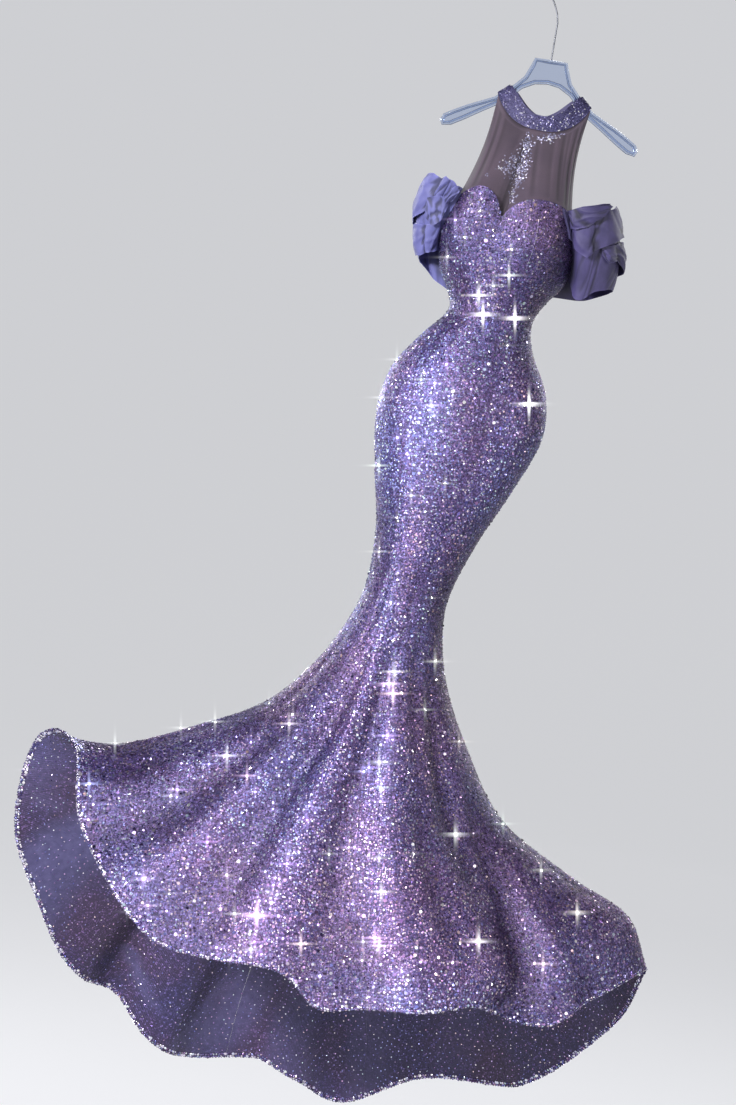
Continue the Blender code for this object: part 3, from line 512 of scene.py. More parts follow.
# ---- materials ----
class Shader:
    """A node material with short calls: values are numbers, colours or another node's output."""

    def __init__(self, name):
        self.material = bpy.data.materials.new(name)
        self.material.use_nodes = True
        self.nodes = self.material.node_tree.nodes
        self.main = self.nodes["Principled BSDF"]

    def fill(self, socket, value):
        if isinstance(value, bpy.types.NodeSocket):
            self.material.node_tree.links.new(value, socket)
        elif isinstance(value, tuple) and len(value) == 3 and socket.type == "RGBA":
            socket.default_value = (*value, 1.0)
        else:
            socket.default_value = value

    def set(self, **values):
        for name, value in values.items():
            self.fill(self.main.inputs[name.replace("_", " ")], value)

    def add(self, kind, output=0, settings=None, **values):
        made = self.nodes.new("ShaderNode" + kind)
        for name, value in (settings or {}).items():
            setattr(made, name, value)
        for name, value in values.items():
            key = int(name[1:]) if name[0] == "_" else name.replace("_", " ")
            self.fill(made.inputs[key], value)
        return made.outputs[output]

    def math(self, operation, first, second=0.0):
        return self.add("Math", settings={"operation": operation}, _0=first, _1=second)

    def mix(self, share, first, second, blend="MIX"):
        return self.add("Mix", 2, {"data_type": "RGBA", "blend_type": blend},
                        _0=share, _6=first, _7=second)

    def ramp(self, value, *stops):
        ramp = self.nodes.new("ShaderNodeValToRGB")
        band = ramp.color_ramp
        while len(band.elements) < len(stops):
            band.elements.new(0.5)
        for element, (place, colour) in zip(band.elements, stops):
            element.position = place
            element.color = (*np.broadcast_to(colour, 3), 1.0)
        self.fill(ramp.inputs[0], value)
        return ramp.outputs[0]

    def place(self):
        return self.add("TexCoord", 3)

    def bump(self, height, strength, distance):
        return self.add("Bump", Height=height, Strength=strength, Distance=distance)

    def weave(self, scale):
        """Threads that cross."""
        across, down = (self.add("TexWave", 1, {"bands_direction": way}, Vector=self.place(),
                                 Scale=scale) for way in "XZ")
        return self.math("MAXIMUM", across, down)


def patches(shader, scale):
    """Soft clouds of 0 to 1 over the cloth."""
    return shader.add("TexNoise", Vector=shader.place(), Scale=scale, Detail=3.0)


def beaded_material():
    """The cloth under the beads, which shows dark between them, with fine bead rows of its own."""
    shader = Shader("beaded_cloth")
    place = shader.place()
    cells = shader.add("TexVoronoi", 1, Vector=place, Scale=1 / GROUND_CELL)
    gaps = shader.add("TexVoronoi", 0, Vector=place, Scale=1 / GROUND_CELL)
    lone = shader.add("SeparateColor", 0, Color=cells)
    shade = shader.ramp(lone, (.0, (.030, .020, .075)), (.55, (.095, .066, .20)),
                        (1.0, (.26, .20, .46)))
    cloud = shader.ramp(patches(shader, 9.0), (.35, (.86, .90, 1.12)), (.62, (1.14, .84, .95)))
    dark = shader.ramp(gaps, (.25, 1.0), (.75, (.30, .24, .36)))
    colour = shader.mix(1.0, shader.mix(1.0, shade, cloud, "MULTIPLY"), dark, "MULTIPLY")
    shader.set(Base_Color=colour, Metallic=.3, Roughness=.4,
               Normal=shader.bump(gaps, .7, -.0010))
    return shader.material


def tinted_material(name, metallic, roughness):
    """Sequins or beads that take the colour stored at their corners."""
    shader = Shader(name)
    tint = shader.add("VertexColor", 0, {"layer_name": "tint"})
    shader.set(Base_Color=tint, Metallic=metallic, Roughness=roughness)
    return shader.material


def lining_material():
    """The skirt's inside: dull mauve with close ribs and specks, and painted highlights of
    smoother, paler lilac where folds turn to the light.
    """
    shader = Shader("lining")
    spread = shader.add("TexCoord", 2)
    place = shader.place()
    ribs = shader.add("TexWave", 1, {"wave_type": "BANDS", "bands_direction": "X"},
                      Vector=spread, Scale=1.35, Distortion=1.2, Detail=2.0, Detail_Scale=2.0)
    specks = shader.add("SeparateColor", 0, Color=shader.add("TexVoronoi", 1, Vector=place,
                                                             Scale=1 / LINING_CELL))
    base = shader.ramp(ribs, (.10, (.044, .033, .086)), (.90, (.100, .076, .176)))
    dots = shader.ramp(specks, (.55, .75), (.80, (1.3, 1.3, 1.35)), (.93, 1.8),
                       (1.0, (4.0, 4.0, 3.8)))
    cloud = shader.ramp(patches(shader, 7.0), (.38, (.85, .92, 1.18)), (.60, (1.15, .90, .98)))
    cloth = shader.mix(1.0, shader.mix(1.0, base, dots, "MULTIPLY"), cloud, "MULTIPLY")
    # Painted highlight: paler lilac without ribs or specks, mixed in where the lining's folds turn
    # to the light.
    threads = shader.add("TexNoise", Vector=place, Scale=70.0, Detail=5.0)
    painted_highlight_colour = shader.ramp(threads, (.3, (.090, .082, .21)), (.7, (.160, .145, .33)))
    share = shader.add("VertexColor", 0, {"layer_name": "painted_highlight"})
    colour = shader.mix(shader.add("SeparateColor", 0, Color=share), cloth, painted_highlight_colour)
    shader.set(Base_Color=colour, Roughness=.40, Sheen_Weight=.2, Metallic=.15,
               Normal=shader.bump(ribs, .35, .0008))
    return shader.material


def organza_material(name, low, high):
    """Crisp woven cloth with fine wrinkles, with painted shade in its folds and painted highlight
    on their ridges and free rims.
    """
    shader = Shader(name)
    stretched = shader.add("Mapping", 0, Vector=shader.place(), Scale=(1.0, 1.0, .32),
                           Rotation=(0, .5, 0))
    wrinkles = shader.add("TexNoise", Vector=stretched, Scale=85.0, Detail=3.0, Distortion=.8)
    colour = shader.ramp(patches(shader, 26.0), (.35, low), (.65, high))
    # Painted shade in the folds and painted highlight on ridges and free rims.
    folds = shader.add("VertexColor", 0, {"layer_name": "folds"})
    colour = shader.mix(1.0, colour, folds, "MULTIPLY")
    fine = shader.bump(shader.weave(420.0), .12, .0003)
    shader.set(Base_Color=colour, Roughness=.6, Sheen_Weight=.30, Sheen_Roughness=.35,
               Normal=shader.add("Bump", Height=wrinkles, Strength=.25, Distance=.0022,
                                 Normal=fine))
    return shader.material


def tulle_material():
    """Fine net, with painted shade in the folds of its mesh, painted highlight on their ridges and
    side edges, and a paler thread here and there.
    """
    shader = Shader("tulle")
    cloud = shader.ramp(patches(shader, 14.0), (.3, (.066, .046, .070)), (.7, (.092, .064, .088)))
    # Painted shade in the net's folds and painted highlight on ridges and side edges.
    folds = shader.add("VertexColor", 0, {"layer_name": "folds"})
    net = shader.weave(330.0)
    threads = shader.ramp(net, (.35, .80), (.95, 1.15))
    colour = shader.mix(1.0, shader.mix(1.0, cloud, folds, "MULTIPLY"), threads, "MULTIPLY")
    shader.set(Base_Color=colour, Roughness=.6, Sheen_Weight=.25, Alpha=.97,
               Normal=shader.bump(net, .2, .0003))
    return shader.material


def satin_material():
    """The neckband's cloth under its beads."""
    shader = Shader("satin")
    cloud = shader.ramp(patches(shader, 60.0), (.3, (.036, .030, .10)), (.7, (.066, .058, .165)))
    grain = shader.add("TexNoise", Vector=shader.place(), Scale=900.0)
    shader.set(Base_Color=cloud, Roughness=.6, Metallic=.1,
               Normal=shader.bump(grain, .2, .0004))
    return shader.material


def acrylic_material():
    shader = Shader("clear_acrylic")
    haze = shader.ramp(patches(shader, 30.0), (.3, .03), (.7, .07))
    shader.set(Base_Color=(.60, .68, .86), Roughness=haze, Transmission_Weight=1.0, IOR=1.49)
    return shader.material


def steel_material():
    shader = Shader("hook_steel")
    grain = shader.add("TexNoise", Vector=shader.place(), Scale=500.0)
    rough = shader.ramp(grain, (.3, .34), (.7, .48))
    shader.set(Base_Color=(.13, .135, .15), Metallic=.9, Roughness=rough)
    return shader.material


BEADED = beaded_material()
BEAD = tinted_material("beads", .55, .20)
SEQUIN = tinted_material("sequins", .85, .24)
GLINT = tinted_material("polished_sequins", 1.0, .15)
CRYSTAL = tinted_material("crystals", .4, .12)
LINING = lining_material()
# One organza for both sleeves, in two copies: the left painted lighter and bluer as if lit, the
# right painted darker and more mauve as if in shade.
ORGANZAS = {
    "left": organza_material("organza_painted_lit", (.086, .088, .240), (.130, .134, .345)),
    "right": organza_material("organza_painted_shade", (.035, .029, .092), (.062, .051, .150)),
}
TULLE_NET = tulle_material()
SATIN = satin_material()
ACRYLIC = acrylic_material()
STEEL = steel_material()


# ---- making pieces ----
def add_object(name, data):
    thing = bpy.data.objects.new(name, data)
    bpy.context.scene.collection.objects.link(thing)
    return thing


def settle(thing, node=None):
    """Lets a piece ride on the one body, in place of the CAD's node if it stands for one."""
    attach(thing, "root")
    if node:
        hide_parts(node)
    return thing


def cell_faces(rows, columns, offset=0):
    """Four-sided faces of a grid of points stored row by row."""
    row, column = np.meshgrid(np.arange(rows), np.arange(columns), indexing="ij")
    first = offset + (row * (columns + 1) + column).ravel()
    return np.stack([first, first + 1, first + columns + 2, first + columns + 1], axis=-1)


def rim_faces(rows, columns, offset):
    """Faces that close a double grid along its four edges."""
    index = np.arange((rows + 1) * (columns + 1)).reshape(rows + 1, columns + 1)
    loop = np.concatenate([index[0, :], index[1:, -1], index[-1, -2::-1], index[-2:0:-1, 0]])
    after = np.roll(loop, -1)
    return np.stack([after, loop, loop + offset, after + offset], axis=-1)


def shell(name, points, normals, thickness, slot, materials, node, spread=(1, 1)):
    """A thin cloth shell: a grid of outer points, row by row, and its normals."""
    rows, columns = points.shape[0] - 1, points.shape[1] - 1
    outer, out = points.reshape(-1, 3), normals.reshape(-1, 3)
    faces = cell_faces(rows, columns)
    every = np.concatenate([faces, cell_faces(rows, columns, len(outer))[:, ::-1],
                            rim_faces(rows, columns, len(outer))])
    if np.einsum("ij,ij->i", face_normals(outer, faces), out[faces[:, 0]]).mean() < 0:
        every = every[:, ::-1]
    mesh = bpy.data.meshes.new(name)
    mesh.from_pydata(np.concatenate([outer, outer - out * thickness]), [], every)
    for material in materials:
        mesh.materials.append(material)
    if len(materials) > 1:
        slots = np.zeros(len(every), np.int32)
        slots[len(faces):2 * len(faces)] = 1
        mesh.polygons.foreach_set("material_index", slots)
    v, u = np.meshgrid(np.linspace(0, spread[1], rows + 1), np.linspace(0, spread[0], columns + 1),
                       indexing="ij")
    flat = np.tile(np.stack([u.ravel(), v.ravel()], axis=-1), (2, 1))
    layer = mesh.uv_layers.new(name="spread")
    layer.data.foreach_set("uv", flat[every.ravel()].astype(np.float32).ravel())
    mesh.shade_smooth()
    mesh.set_sharp_from_angle(angle=SHARP_ANGLE)
    return settle(add_object(name, mesh), node)


def paint(mesh, name, colours):
    """Stores a colour, or a share from 0 to 1 as a grey, at each point."""
    layer = mesh.color_attributes.new(name=name, type="FLOAT_COLOR", domain="POINT")
    full = np.ones((len(colours), 4), np.float32)
    full[:, :3] = colours.reshape(len(colours), -1)
    layer.data.foreach_set("color", full.ravel())


def painted_fold_shading(points, normals, reach, scale, low=.5, high=1.4):
    """Painted shade and highlight: how bright each point of a grid is, darker in its folds and
    lighter on their ridges.
    """
    painted_light = np.ones(points.shape[:2])
    for axis in (0, 1):
        last = points.shape[axis] - 1
        index = np.arange(last + 1)
        step = np.minimum(np.minimum(index, last - index), reach)
        middle = (np.take(points, index - step, axis) + np.take(points, index + step, axis)) / 2
        hollow = np.einsum("rci,rci->rc", middle - points, normals)
        painted_light *= np.exp(-hollow / scale)
    return np.clip(painted_light, low, high)


def painted_rim_highlight(painted_light, gain):
    """The same painted tones with a painted highlight on the grid's free rims."""
    painted_light = painted_light.copy()
    painted_light[[0, -1], :] *= gain
    painted_light[:, [0, -1]] *= gain
    return painted_light


def face_normals(points, faces):
    first, second, fourth = points[faces[:, 0]], points[faces[:, 1]], points[faces[:, 3]]
    return np.cross(second - first, fourth - first)


def grid_of(surface, columns, rows):
    """Points and normals of surface(u, v) as grids, v running from 1 at the top to 0."""
    v, u = np.meshgrid(np.linspace(1, 0, rows + 1), np.linspace(0, 1, columns + 1),
                       indexing="ij")
    points, normals = surface(u.ravel(), v.ravel())
    return points.reshape(v.shape + (3,)), normals.reshape(v.shape + (3,))


def at(grid, row, column):
    """Values of a grid at rows and columns given in parts of a step."""
    top = np.clip(row.astype(int), 0, grid.shape[0] - 2)
    left = np.clip(column.astype(int), 0, grid.shape[1] - 2)
    down, across = (row - top)[:, None], (column - left)[:, None]
    upper = grid[top, left] * (1 - across) + grid[top, left + 1] * across
    lower = grid[top + 1, left] * (1 - across) + grid[top + 1, left + 1] * across
    return upper * (1 - down) + lower * down


def scattered(name, centres, normals, radii, tints, material, sides=6, height=0.0):
    """One mesh of many small discs, or of low cones when they have a height."""
    count = len(centres)
    helper = np.where(np.abs(normals[:, 2:3]) < .9, [[0.0, 0.0, 1.0]], [[1.0, 0.0, 0.0]])
    east = unit(np.cross(helper, normals))
    north = np.cross(normals, east)
    turn = RANDOM.uniform(0, 2 * np.pi, count)[:, None] + np.arange(sides) * 2 * np.pi / sides
    ring = (centres[:, None] + radii[:, None, None]
            * (np.cos(turn)[..., None] * east[:, None] + np.sin(turn)[..., None] * north[:, None]))
    if height:
        tip = centres + normals * (radii * height)[:, None]
        points = np.concatenate([ring, tip[:, None]], axis=1)
        start = np.arange(count)[:, None] * (sides + 1)
        here = np.arange(sides)
        faces = np.stack([start + here, start + (here + 1) % sides,
                          np.repeat(start + sides, sides, axis=1)], axis=-1).reshape(-1, 3)
    else:
        points, faces = ring, np.arange(count * sides).reshape(count, sides)
    mesh = bpy.data.meshes.new(name)
    mesh.from_pydata(points.reshape(-1, 3), [], faces)
    mesh.materials.append(material)
    paint(mesh, "tint", np.repeat(tints, points.shape[1], axis=0))
    if height:
        mesh.shade_smooth()
    return settle(add_object(name, mesh))


def lean(normals, degrees):
    """Normals that lean at random, most of them by about these degrees."""
    return unit(normals + RANDOM.normal(0, math.radians(degrees), normals.shape))


def sewn_places(points, pitch):
    """Rows and columns, in parts of a step, of places about one pitch apart on a grid."""
    steps = np.linalg.norm(np.diff(points, axis=0), axis=-1)
    longest = steps.max(axis=1)
    run = running(longest)
    sewn = np.interp(np.arange(pitch / 2, run[-1], pitch * .87), run, np.arange(len(run)))
    numbers = np.arange(points.shape[1])
    rows, columns = [], []
    for number, row in enumerate(sewn):
        cell = min(int(row), len(steps) - 1)
        line = points[cell] + (points[cell + 1] - points[cell]) * (row - cell)
        around = running(np.linalg.norm(np.diff(line, axis=0), axis=-1))
        spots = (np.arange(int(around[-1] / pitch)) + .5 * (number % 2)) * pitch
        spots = spots + RANDOM.uniform(.05, .5, len(spots)) * pitch
        places = np.interp(spots[spots < around[-1]], around, numbers)
        chance = np.interp(places, numbers, (steps[cell] / longest[cell]))
        places = places[RANDOM.uniform(size=len(places)) < chance]
        sway = RANDOM.uniform(-.25, .25, len(places)) * pitch / longest[cell]
        columns.append(places)
        rows.append(np.clip(row + sway, 0, len(steps)))
    return np.concatenate(rows), np.concatenate(columns)


# ---- gown ----
# Share, red, green, blue.
BEAD_SHADES = grid(4, """
    .3 .105 .077 .215   .34 .225 .176 .41   .24 .4 .34 .66   .12 .8 .76 .95""")
SEQUIN_SHADES = grid(4, """
    .2 .12 .085 .26   .32 .3 .235 .53   .28 .52 .44 .78   .2 .9 .86 .98""")
MAUVE = np.array((1.24, .90, .84))
BLUE = np.array((.76, 1.0, 1.12))
HUE_SPREAD = .35                     # how far one bead's hue strays from its neighbours'

# Painted shade on the beading: how bright it is at an angle and level, within a half width in
# degrees and a half length in levels.
PAINTED_SHADE_SPOTS = table("""
    angle level width length share
    0 .6 400 2.2 .39
    34 1.2 30 2.2 .66
    4 6.9 30 2.6 .56
    70 5 34 6 .58
    -78 14.8 34 2.4 .72
    -46 15.8 34 1.5 .76
    66 14.4 40 4 .48""")


# Painted shade: how much the spots of the table above darken the beading at each place.
def painted_light(degrees, level):
    bright = np.ones(degrees.shape)
    for spot in PAINTED_SHADE_SPOTS:
        side = turn_between(degrees, spot["angle"]) / spot["width"]
        along = (level - spot["level"]) / spot["length"]
        bright *= 1 - (1 - spot["share"]) * np.exp(-side ** 4 - along ** 4)
    return bright[:, None]


def picked(count, shades, lightest):
    """A random colour of the table for each bead or sequin, a little darker or lighter."""
    shares, colours = shades[:, 0], shades[:, 1:]
    pick = np.searchsorted(np.cumsum(shares), RANDOM.uniform(size=count) * shares.sum())
    return (colours[np.minimum(pick, len(shades) - 1)]
            * RANDOM.uniform(.8, lightest, (count, 1)))


def shaded(count, shades, mauve_share):
    """A random shade for each bead or sequin, from blue-violet towards mauve."""
    base = picked(count, shades, 1.2)
    share = np.clip(mauve_share + RANDOM.normal(0, HUE_SPREAD, count), 0, 1)
    return np.clip(base * (BLUE + (MAUVE - BLUE) * share[:, None]), 0, 1)


def mauve_share_and_cast(degrees, level):
    """Where the beading is more mauve than blue, from 0 to 1: its hue wanders in waves and changes
    by level, and the term by the angle's sine paints a mauve cast of light on the right side and a
    bluer one on the left.
    """
    waves = (np.sin(np.radians(degrees) * 3 + level * .9) + np.sin(level * 2.1 + 1.0)
             + np.sin(np.radians(degrees) * 7 - level * 1.7))
    return (.22 + .42 * smooth_step(level, 7.0, 13.0) + .18 * waves
            + .18 * np.sin(np.radians(degrees)) + .30 * (1 - smooth_step(level, 1.0, 3.5)))


STAR_LEAST, STAR_GAIN = .0012, .0009    # radius of one with no size, and what its size adds
STAR_LIFT, STAR_TINT = .0028, .25
# Facets that flash: where each is, and its size, which also sets how bright it is.
STARS = grid(3, """
    31.5 3.89 1.7   -11.6 3.98 1.9   -21.4 3.18 1.3   49 6.33 1.7   47.6 13.98 1.6
    67.1 15.53 1.4   32.8 15.53 1.4   56.9 11.46 1.1   276.7 13.83 1.2   79.2 14.06 1.1
    12.2 14.71 1.2   286.5 6.72 1.1   71.5 14.75 1.1   -3.2 14.34 1.2   314 14.38 1.2
    17.5 13.93 1.1   5.2 2.22 1.2   -21.2 15.66 1.2   23.3 14.29 1   32.5 16.39 1   39.6 14.23 .9
    -34.7 14.25 1   272.6 15.26 1   34.9 10.06 .9   52.3 14.26 .9   1 8.09 1   -6 2.72 1.1
    11.1 15.13 .9   -26.8 .55 1   7.4 16.7 .9   40.8 12.31 .9   282.6 13.03 .9   -35.5 15.78 1
    71.1 12.91 .8   5.7 13.95 .8   27.8 15.59 .8   -35.2 16.6 .9   2 1.43 1.1   308.9 1.8 1.1
    -38.1 14.59 .8   271 14.27 .8   -34.7 6.22 1   304.9 14.88 .8   -21.8 13.3 .8   -26.2 14.5 .8
    303.4 9.42 1   31.1 4.89 .9   -7.9 13.9 .8   24.4 13.26 .8   -6.5 15.62 .8   285.1 5.86 1
    311.5 15.33 .8   310.4 13.11 .8   19 6.61 .9   301.2 6.32 .8   -15.7 .96 1   -20.7 16.67 .8
    57.5 11.83 .8   290.8 10.94 .8   -35.9 1.21 1   3.9 15.73 .8   17 15.94 .8   320.7 15.24 .8
    -25.1 8.39 .9   28 7.58 .9   -37.5 8.8 .8   5.5 1.12 .9   293.3 7.94 .8""")


def make_gore(name, kind, start, end):
    """One gore's shell with its beads and sequins."""
    low, high = FRONT_TURN + start, FRONT_TURN + end
    columns, rows = BODY_COLUMNS[kind] * COLUMN_SPLIT, BODY_ROWS * ROW_SPLIT
    points, normals = gown_grid(low, high, columns, rows)
    for edge, inside in ((0, 1), (-1, -2)):
        points[:, edge] += unit(points[:, inside] - points[:, edge]) * SEAM_GAP / 2
    cloth = shell(name + "_cloth", points, normals, CLOTH, "sequined_cloth", [BEADED, LINING],
                  name, spread=(high - low, 60))
    level, degrees = np.meshgrid(np.linspace(0, LAST_RING, rows + 1),
                                 np.linspace(low, high, columns + 1), indexing="ij")
    # The painted highlights of the lining's folds, stored at the points of both faces.
    paint(cloth.data, "painted_highlight", np.tile(painted_highlight_share(degrees, level).ravel(), 2))
    # Painted shade in the gown's folds and painted highlight on their ridges, for the tints of its
    # beads and sequins.
    folds = painted_fold_shading(points, normals, 4, GOWN_CAVITY, .62, 1.25)[..., None]
    grid = points, normals, low, high, folds
    sewn = [sew_beads(name, *grid), *sew_sequins(name, *grid), sew_inside(name, *grid[:4]),
            sew_hem(name, *grid[:4]), *sew_stars(name, *grid[:4])]


def sewn_on(points, low, high, pitch):
    """Places on a gore's grid, with their angles and levels."""
    rows, columns = sewn_places(points, pitch)
    level = rows / (points.shape[0] - 1) * LAST_RING
    degrees = low + (high - low) * columns / (points.shape[1] - 1)
    return rows, columns, degrees, level


def sew_beads(name, points, normals, low, high, folds):
    rows, columns, degrees, level = sewn_on(points, low, high, BEAD_PITCH)
    count = len(rows)
    places, up = at(points, rows, columns), at(normals, rows, columns)
    radii = BEAD_RADIUS * RANDOM.uniform(.85, 1.12, count)
    # The tints carry the painted mauve cast, the painted shade by place and the painted shade and
    # highlight of the folds.
    return scattered(name + "_beads", places + up * SEAM_GAP / 2, lean(up, 5.0), radii,
                     shaded(count, BEAD_SHADES, mauve_share_and_cast(degrees, level)) * painted_light(degrees, level)
                     * at(folds, rows, columns), BEAD, sides=4,
                     height=BEAD_HEIGHT)


def sew_sequins(name, points, normals, low, high, folds):
    rows, columns, degrees, level = sewn_on(points, low, high, SEQUIN_PITCH)
    count = len(rows)
    near_hem = smooth_step(level, 13.5, 17.0)
    large = RANDOM.uniform(size=count) < PAILLETTE_SHARE * (1 + 3.0 * near_hem)
    radii = np.where(large, PAILLETTE_RADIUS, SEQUIN_RADIUS) * RANDOM.uniform(.75, 1.1, count)
    places, up = at(points, rows, columns), at(normals, rows, columns)
    facing = lean(up, SEQUIN_TILT)
    # The tints carry the painted mauve cast, the painted shade by place and the painted shade and
    # highlight of the folds.
    tints = (shaded(count, SEQUIN_SHADES, mauve_share_and_cast(degrees, level)) * painted_light(degrees, level)
             * at(folds, rows, columns))
    places = places + up * SEQUIN_LIFT
    polished = RANDOM.uniform(size=count) < GLINT_SHARE
    plain = ~polished
    return [scattered(name + "_sequins", places[plain], facing[plain], radii[plain],
                      tints[plain], SEQUIN),
            scattered(name + "_glints", places[polished], facing[polished], radii[polished],
                      tints[polished] ** .3, GLINT)]


def sew_stars(name, points, normals, low, high):
    """The sequins of STARS on this gore, tilted as those that flash in the picture must be."""
    here = [row for row in STARS if (row[0] - low) % 360.0 < high - low]
    if not here:
        return []
    degrees, level, size = np.array(here).T
    rows = level / LAST_RING * (points.shape[0] - 1)
    columns = (degrees - low) % 360.0 / (high - low) * (points.shape[1] - 1)
    places, up = at(points, rows, columns), unit(at(normals, rows, columns))
    to_eye = unit(np.array(CAMERA_PLACE) - places)
    to_light = unit(SPARK_LIGHTS[None] - places[:, None])
    halfway = unit(to_light + to_eye[:, None])
    upright = np.einsum("slc,sc->sl", halfway, up)
    best = np.argmax(upright, axis=1)
    halfway, upright = halfway[np.arange(len(best)), best], upright.max(axis=1)
    radii = STAR_LEAST + STAR_GAIN * size
    places = places + up * (STAR_LIFT + radii * np.sqrt(1 - upright ** 2))[:, None]
    tints = np.repeat(np.minimum(STAR_TINT * size ** 4, .95)[:, None], 3, axis=1)
    return [scattered(name + "_stars", places, halfway, radii, tints, GLINT)]


def sew_inside(name, points, normals, low, high):
    """The sparse sequins that show through on the skirt's inner face."""
    rows, columns, degrees, level = sewn_on(points, low, high, LINING_PITCH)
    here = level > LINING_FROM
    rows, columns, degrees, level = rows[here], columns[here], degrees[here], level[here]
    count = len(rows)
    down = -at(normals, rows, columns)
    places = at(points, rows, columns) + down * (CLOTH + SEAM_GAP)
    # The tints carry the painted mauve cast of light on the right side.
    return scattered(name + "_inner_sequins", places, lean(down, 14.0),
                     LINING_RADIUS * RANDOM.uniform(.7, 1.2, count),
                     shaded(count, SEQUIN_SHADES, mauve_share_and_cast(degrees, level)),
                     SEQUIN, sides=5)


def sew_hem(name, points, normals, low, high):
    """Rows of larger beads on the hem's edge, on both faces."""
    edge, out = points[-1], normals[-1]
    down = unit(edge - points[-2])
    run = running(np.linalg.norm(np.diff(edge, axis=0), axis=-1))
    numbers = np.arange(len(edge))
    places, facing, spread = [], [], []
    for back, forward, inside in HEM_ROWS:
        spots = np.arange(HEM_PITCH * RANDOM.uniform(.2, .8), run[-1], HEM_PITCH)
        spots = spots + RANDOM.uniform(-.2, .2, len(spots)) * HEM_PITCH
        column = np.interp(spots, run, numbers)
        spread.append(column)
        top = np.zeros_like(column)
        here = at(np.stack([edge, edge]), top, column)
        fall, face = at(np.stack([down, down]), top, column), at(np.stack([out, out]), top, column)
        if inside:
            here, face = here - face * (CLOTH + SEAM_GAP * 2), -face
        places.append(here - fall * back + face * SEAM_GAP)
        facing.append(face * (1 - forward) + fall * forward)
    places, facing = np.concatenate(places), unit(np.concatenate(facing))
    count = len(places)
    degrees = low + (high - low) * np.concatenate(spread) / (len(edge) - 1)
    # Near the loop at the left more hem beads are bright, a painted highlight where the light from
    # the left falls; elsewhere a fifth of them are bright at random.
    near_loop = bump(turn_between(degrees, HEM_HIGHLIGHT_ANGLE), HEM_HIGHLIGHT_WIDTH)
    bright = RANDOM.uniform(size=count) < .20 + .45 * near_loop
    tints = shaded(count, SEQUIN_SHADES, np.full(count, .4))
    tints = np.where(bright[:, None], tints ** .25, tints * .7)
    radii = HEM_RADIUS * RANDOM.uniform(.45, .8, count) * np.where(bright, 1.35, 1.0)
    return scattered(name + "_hem_beads", places, lean(facing, 12.0), radii, tints,
                     SEQUIN, sides=6, height=.5)


# ---- neckband ----
ARM_TOP = ((.062, -.2130), (.095, -.2420))


ARM_RUN = unit(np.array(ARM_TOP[1]) - np.array(ARM_TOP[0]))
ARM_REST_Z = (ARM_TOP[0][1] + (BAND_HALF_SPAN - ARM_TOP[0][0]) * ARM_RUN[1] / ARM_RUN[0]
              + (ARM_CLEARANCE + CLOTH) / ARM_RUN[0])


def neckband(degrees, across):
    angle = np.radians(degrees)
    side, ahead = np.sin(angle), np.cos(angle)
    rise = np.abs(side) ** np.where(ahead > 0, BAND_FRONT_CURVE, BAND_BACK_CURVE)
    middle_z = np.where(ahead > 0, BAND_FRONT_Z, BAND_BACK_Z)
    centre = np.stack([BAND_HALF_SPAN * side, -BAND_DEPTH * ahead,
                       middle_z + (ARM_REST_Z - middle_z) * rise], axis=-1)
    leaning = side ** 2
    up = unit(np.stack([-ARM_RUN[0] * leaning * np.sign(side), np.zeros_like(side),
                        1.0 - leaning - ARM_RUN[1] * leaning], axis=-1))
    width = BAND_WIDTH + BAND_EXTRA * np.sin(2 * angle) ** 2
    return centre + up * (width * (across - 0.5))[..., None]


def band_normals(degrees, across):
    return surface_normals(neckband, degrees, across, .5, .02)


# Share, red, green, blue.
BEAD_TINTS = grid(4, """
    .5 .04 .036 .115   .32 .11 .098 .26   .12 .36 .34 .64   .06 .95 .95 1""")


def make_neckband():
    """The satin strip, closely set with small crystals, and the tab at the nape."""
    end = 180.0 - math.degrees(SEAM_GAP / BAND_HALF_SPAN)

    def strip(u, v):
        degrees = -end + 2 * end * u
        return neckband(degrees, v), band_normals(degrees, v)

    points, normals = grid_of(strip, *BAND_GRID)
    band = shell("neckband_satin", points, normals, CLOTH, "beaded_band", [SATIN], "neckband")
    rows, columns = sewn_places(points, CRYSTAL_PITCH)
    u, v = columns / BAND_GRID[0], rows / BAND_GRID[1]
    free = (np.abs(u - .5) < .5 - TAB_HALF_ANGLE / 360) | (np.abs(v - .5) > .5 - TAB_MARGIN)
    places, up = at(points, rows[free], columns[free]), at(normals, rows[free], columns[free])
    count = len(places)
    crystals = scattered("neckband_crystals", places + up * .0002, lean(up, 8.0),
                         RANDOM.uniform(.0009, .0016, count), picked(count, BEAD_TINTS, 1.05),
                         CRYSTAL, sides=5, height=.8)

    def tab(u, v):
        degrees = 180.0 - TAB_HALF_ANGLE + 2 * TAB_HALF_ANGLE * u
        across = TAB_MARGIN + (1 - 2 * TAB_MARGIN) * v
        normals = band_normals(degrees, across)
        return neckband(degrees, across) + normals * (SEAM_GAP + TAB_THICK), normals

    shell("nape_tab_satin", *grid_of(tab, *TAB_GRID), TAB_THICK, "beaded_band", [SATIN],
          "nape_tab")


# ---- yoke ----
def yoke_angles():
    middle, side = BODY_COLUMNS["centre_front"], BODY_COLUMNS["side_front"]
    low, high = FRONT_TURN + GORES[0][2], FRONT_TURN + GORES[0][3]
    side_step = (GORES[1][3] - GORES[1][2]) / side
    before, after = YOKE_SIDE_COLUMNS
    return np.concatenate([low - side_step * np.arange(before, 0, -1),
                           np.linspace(low, high, middle + 1),
                           high + side_step * np.arange(1, after + 1)])


YOKE_ANGLES = yoke_angles()


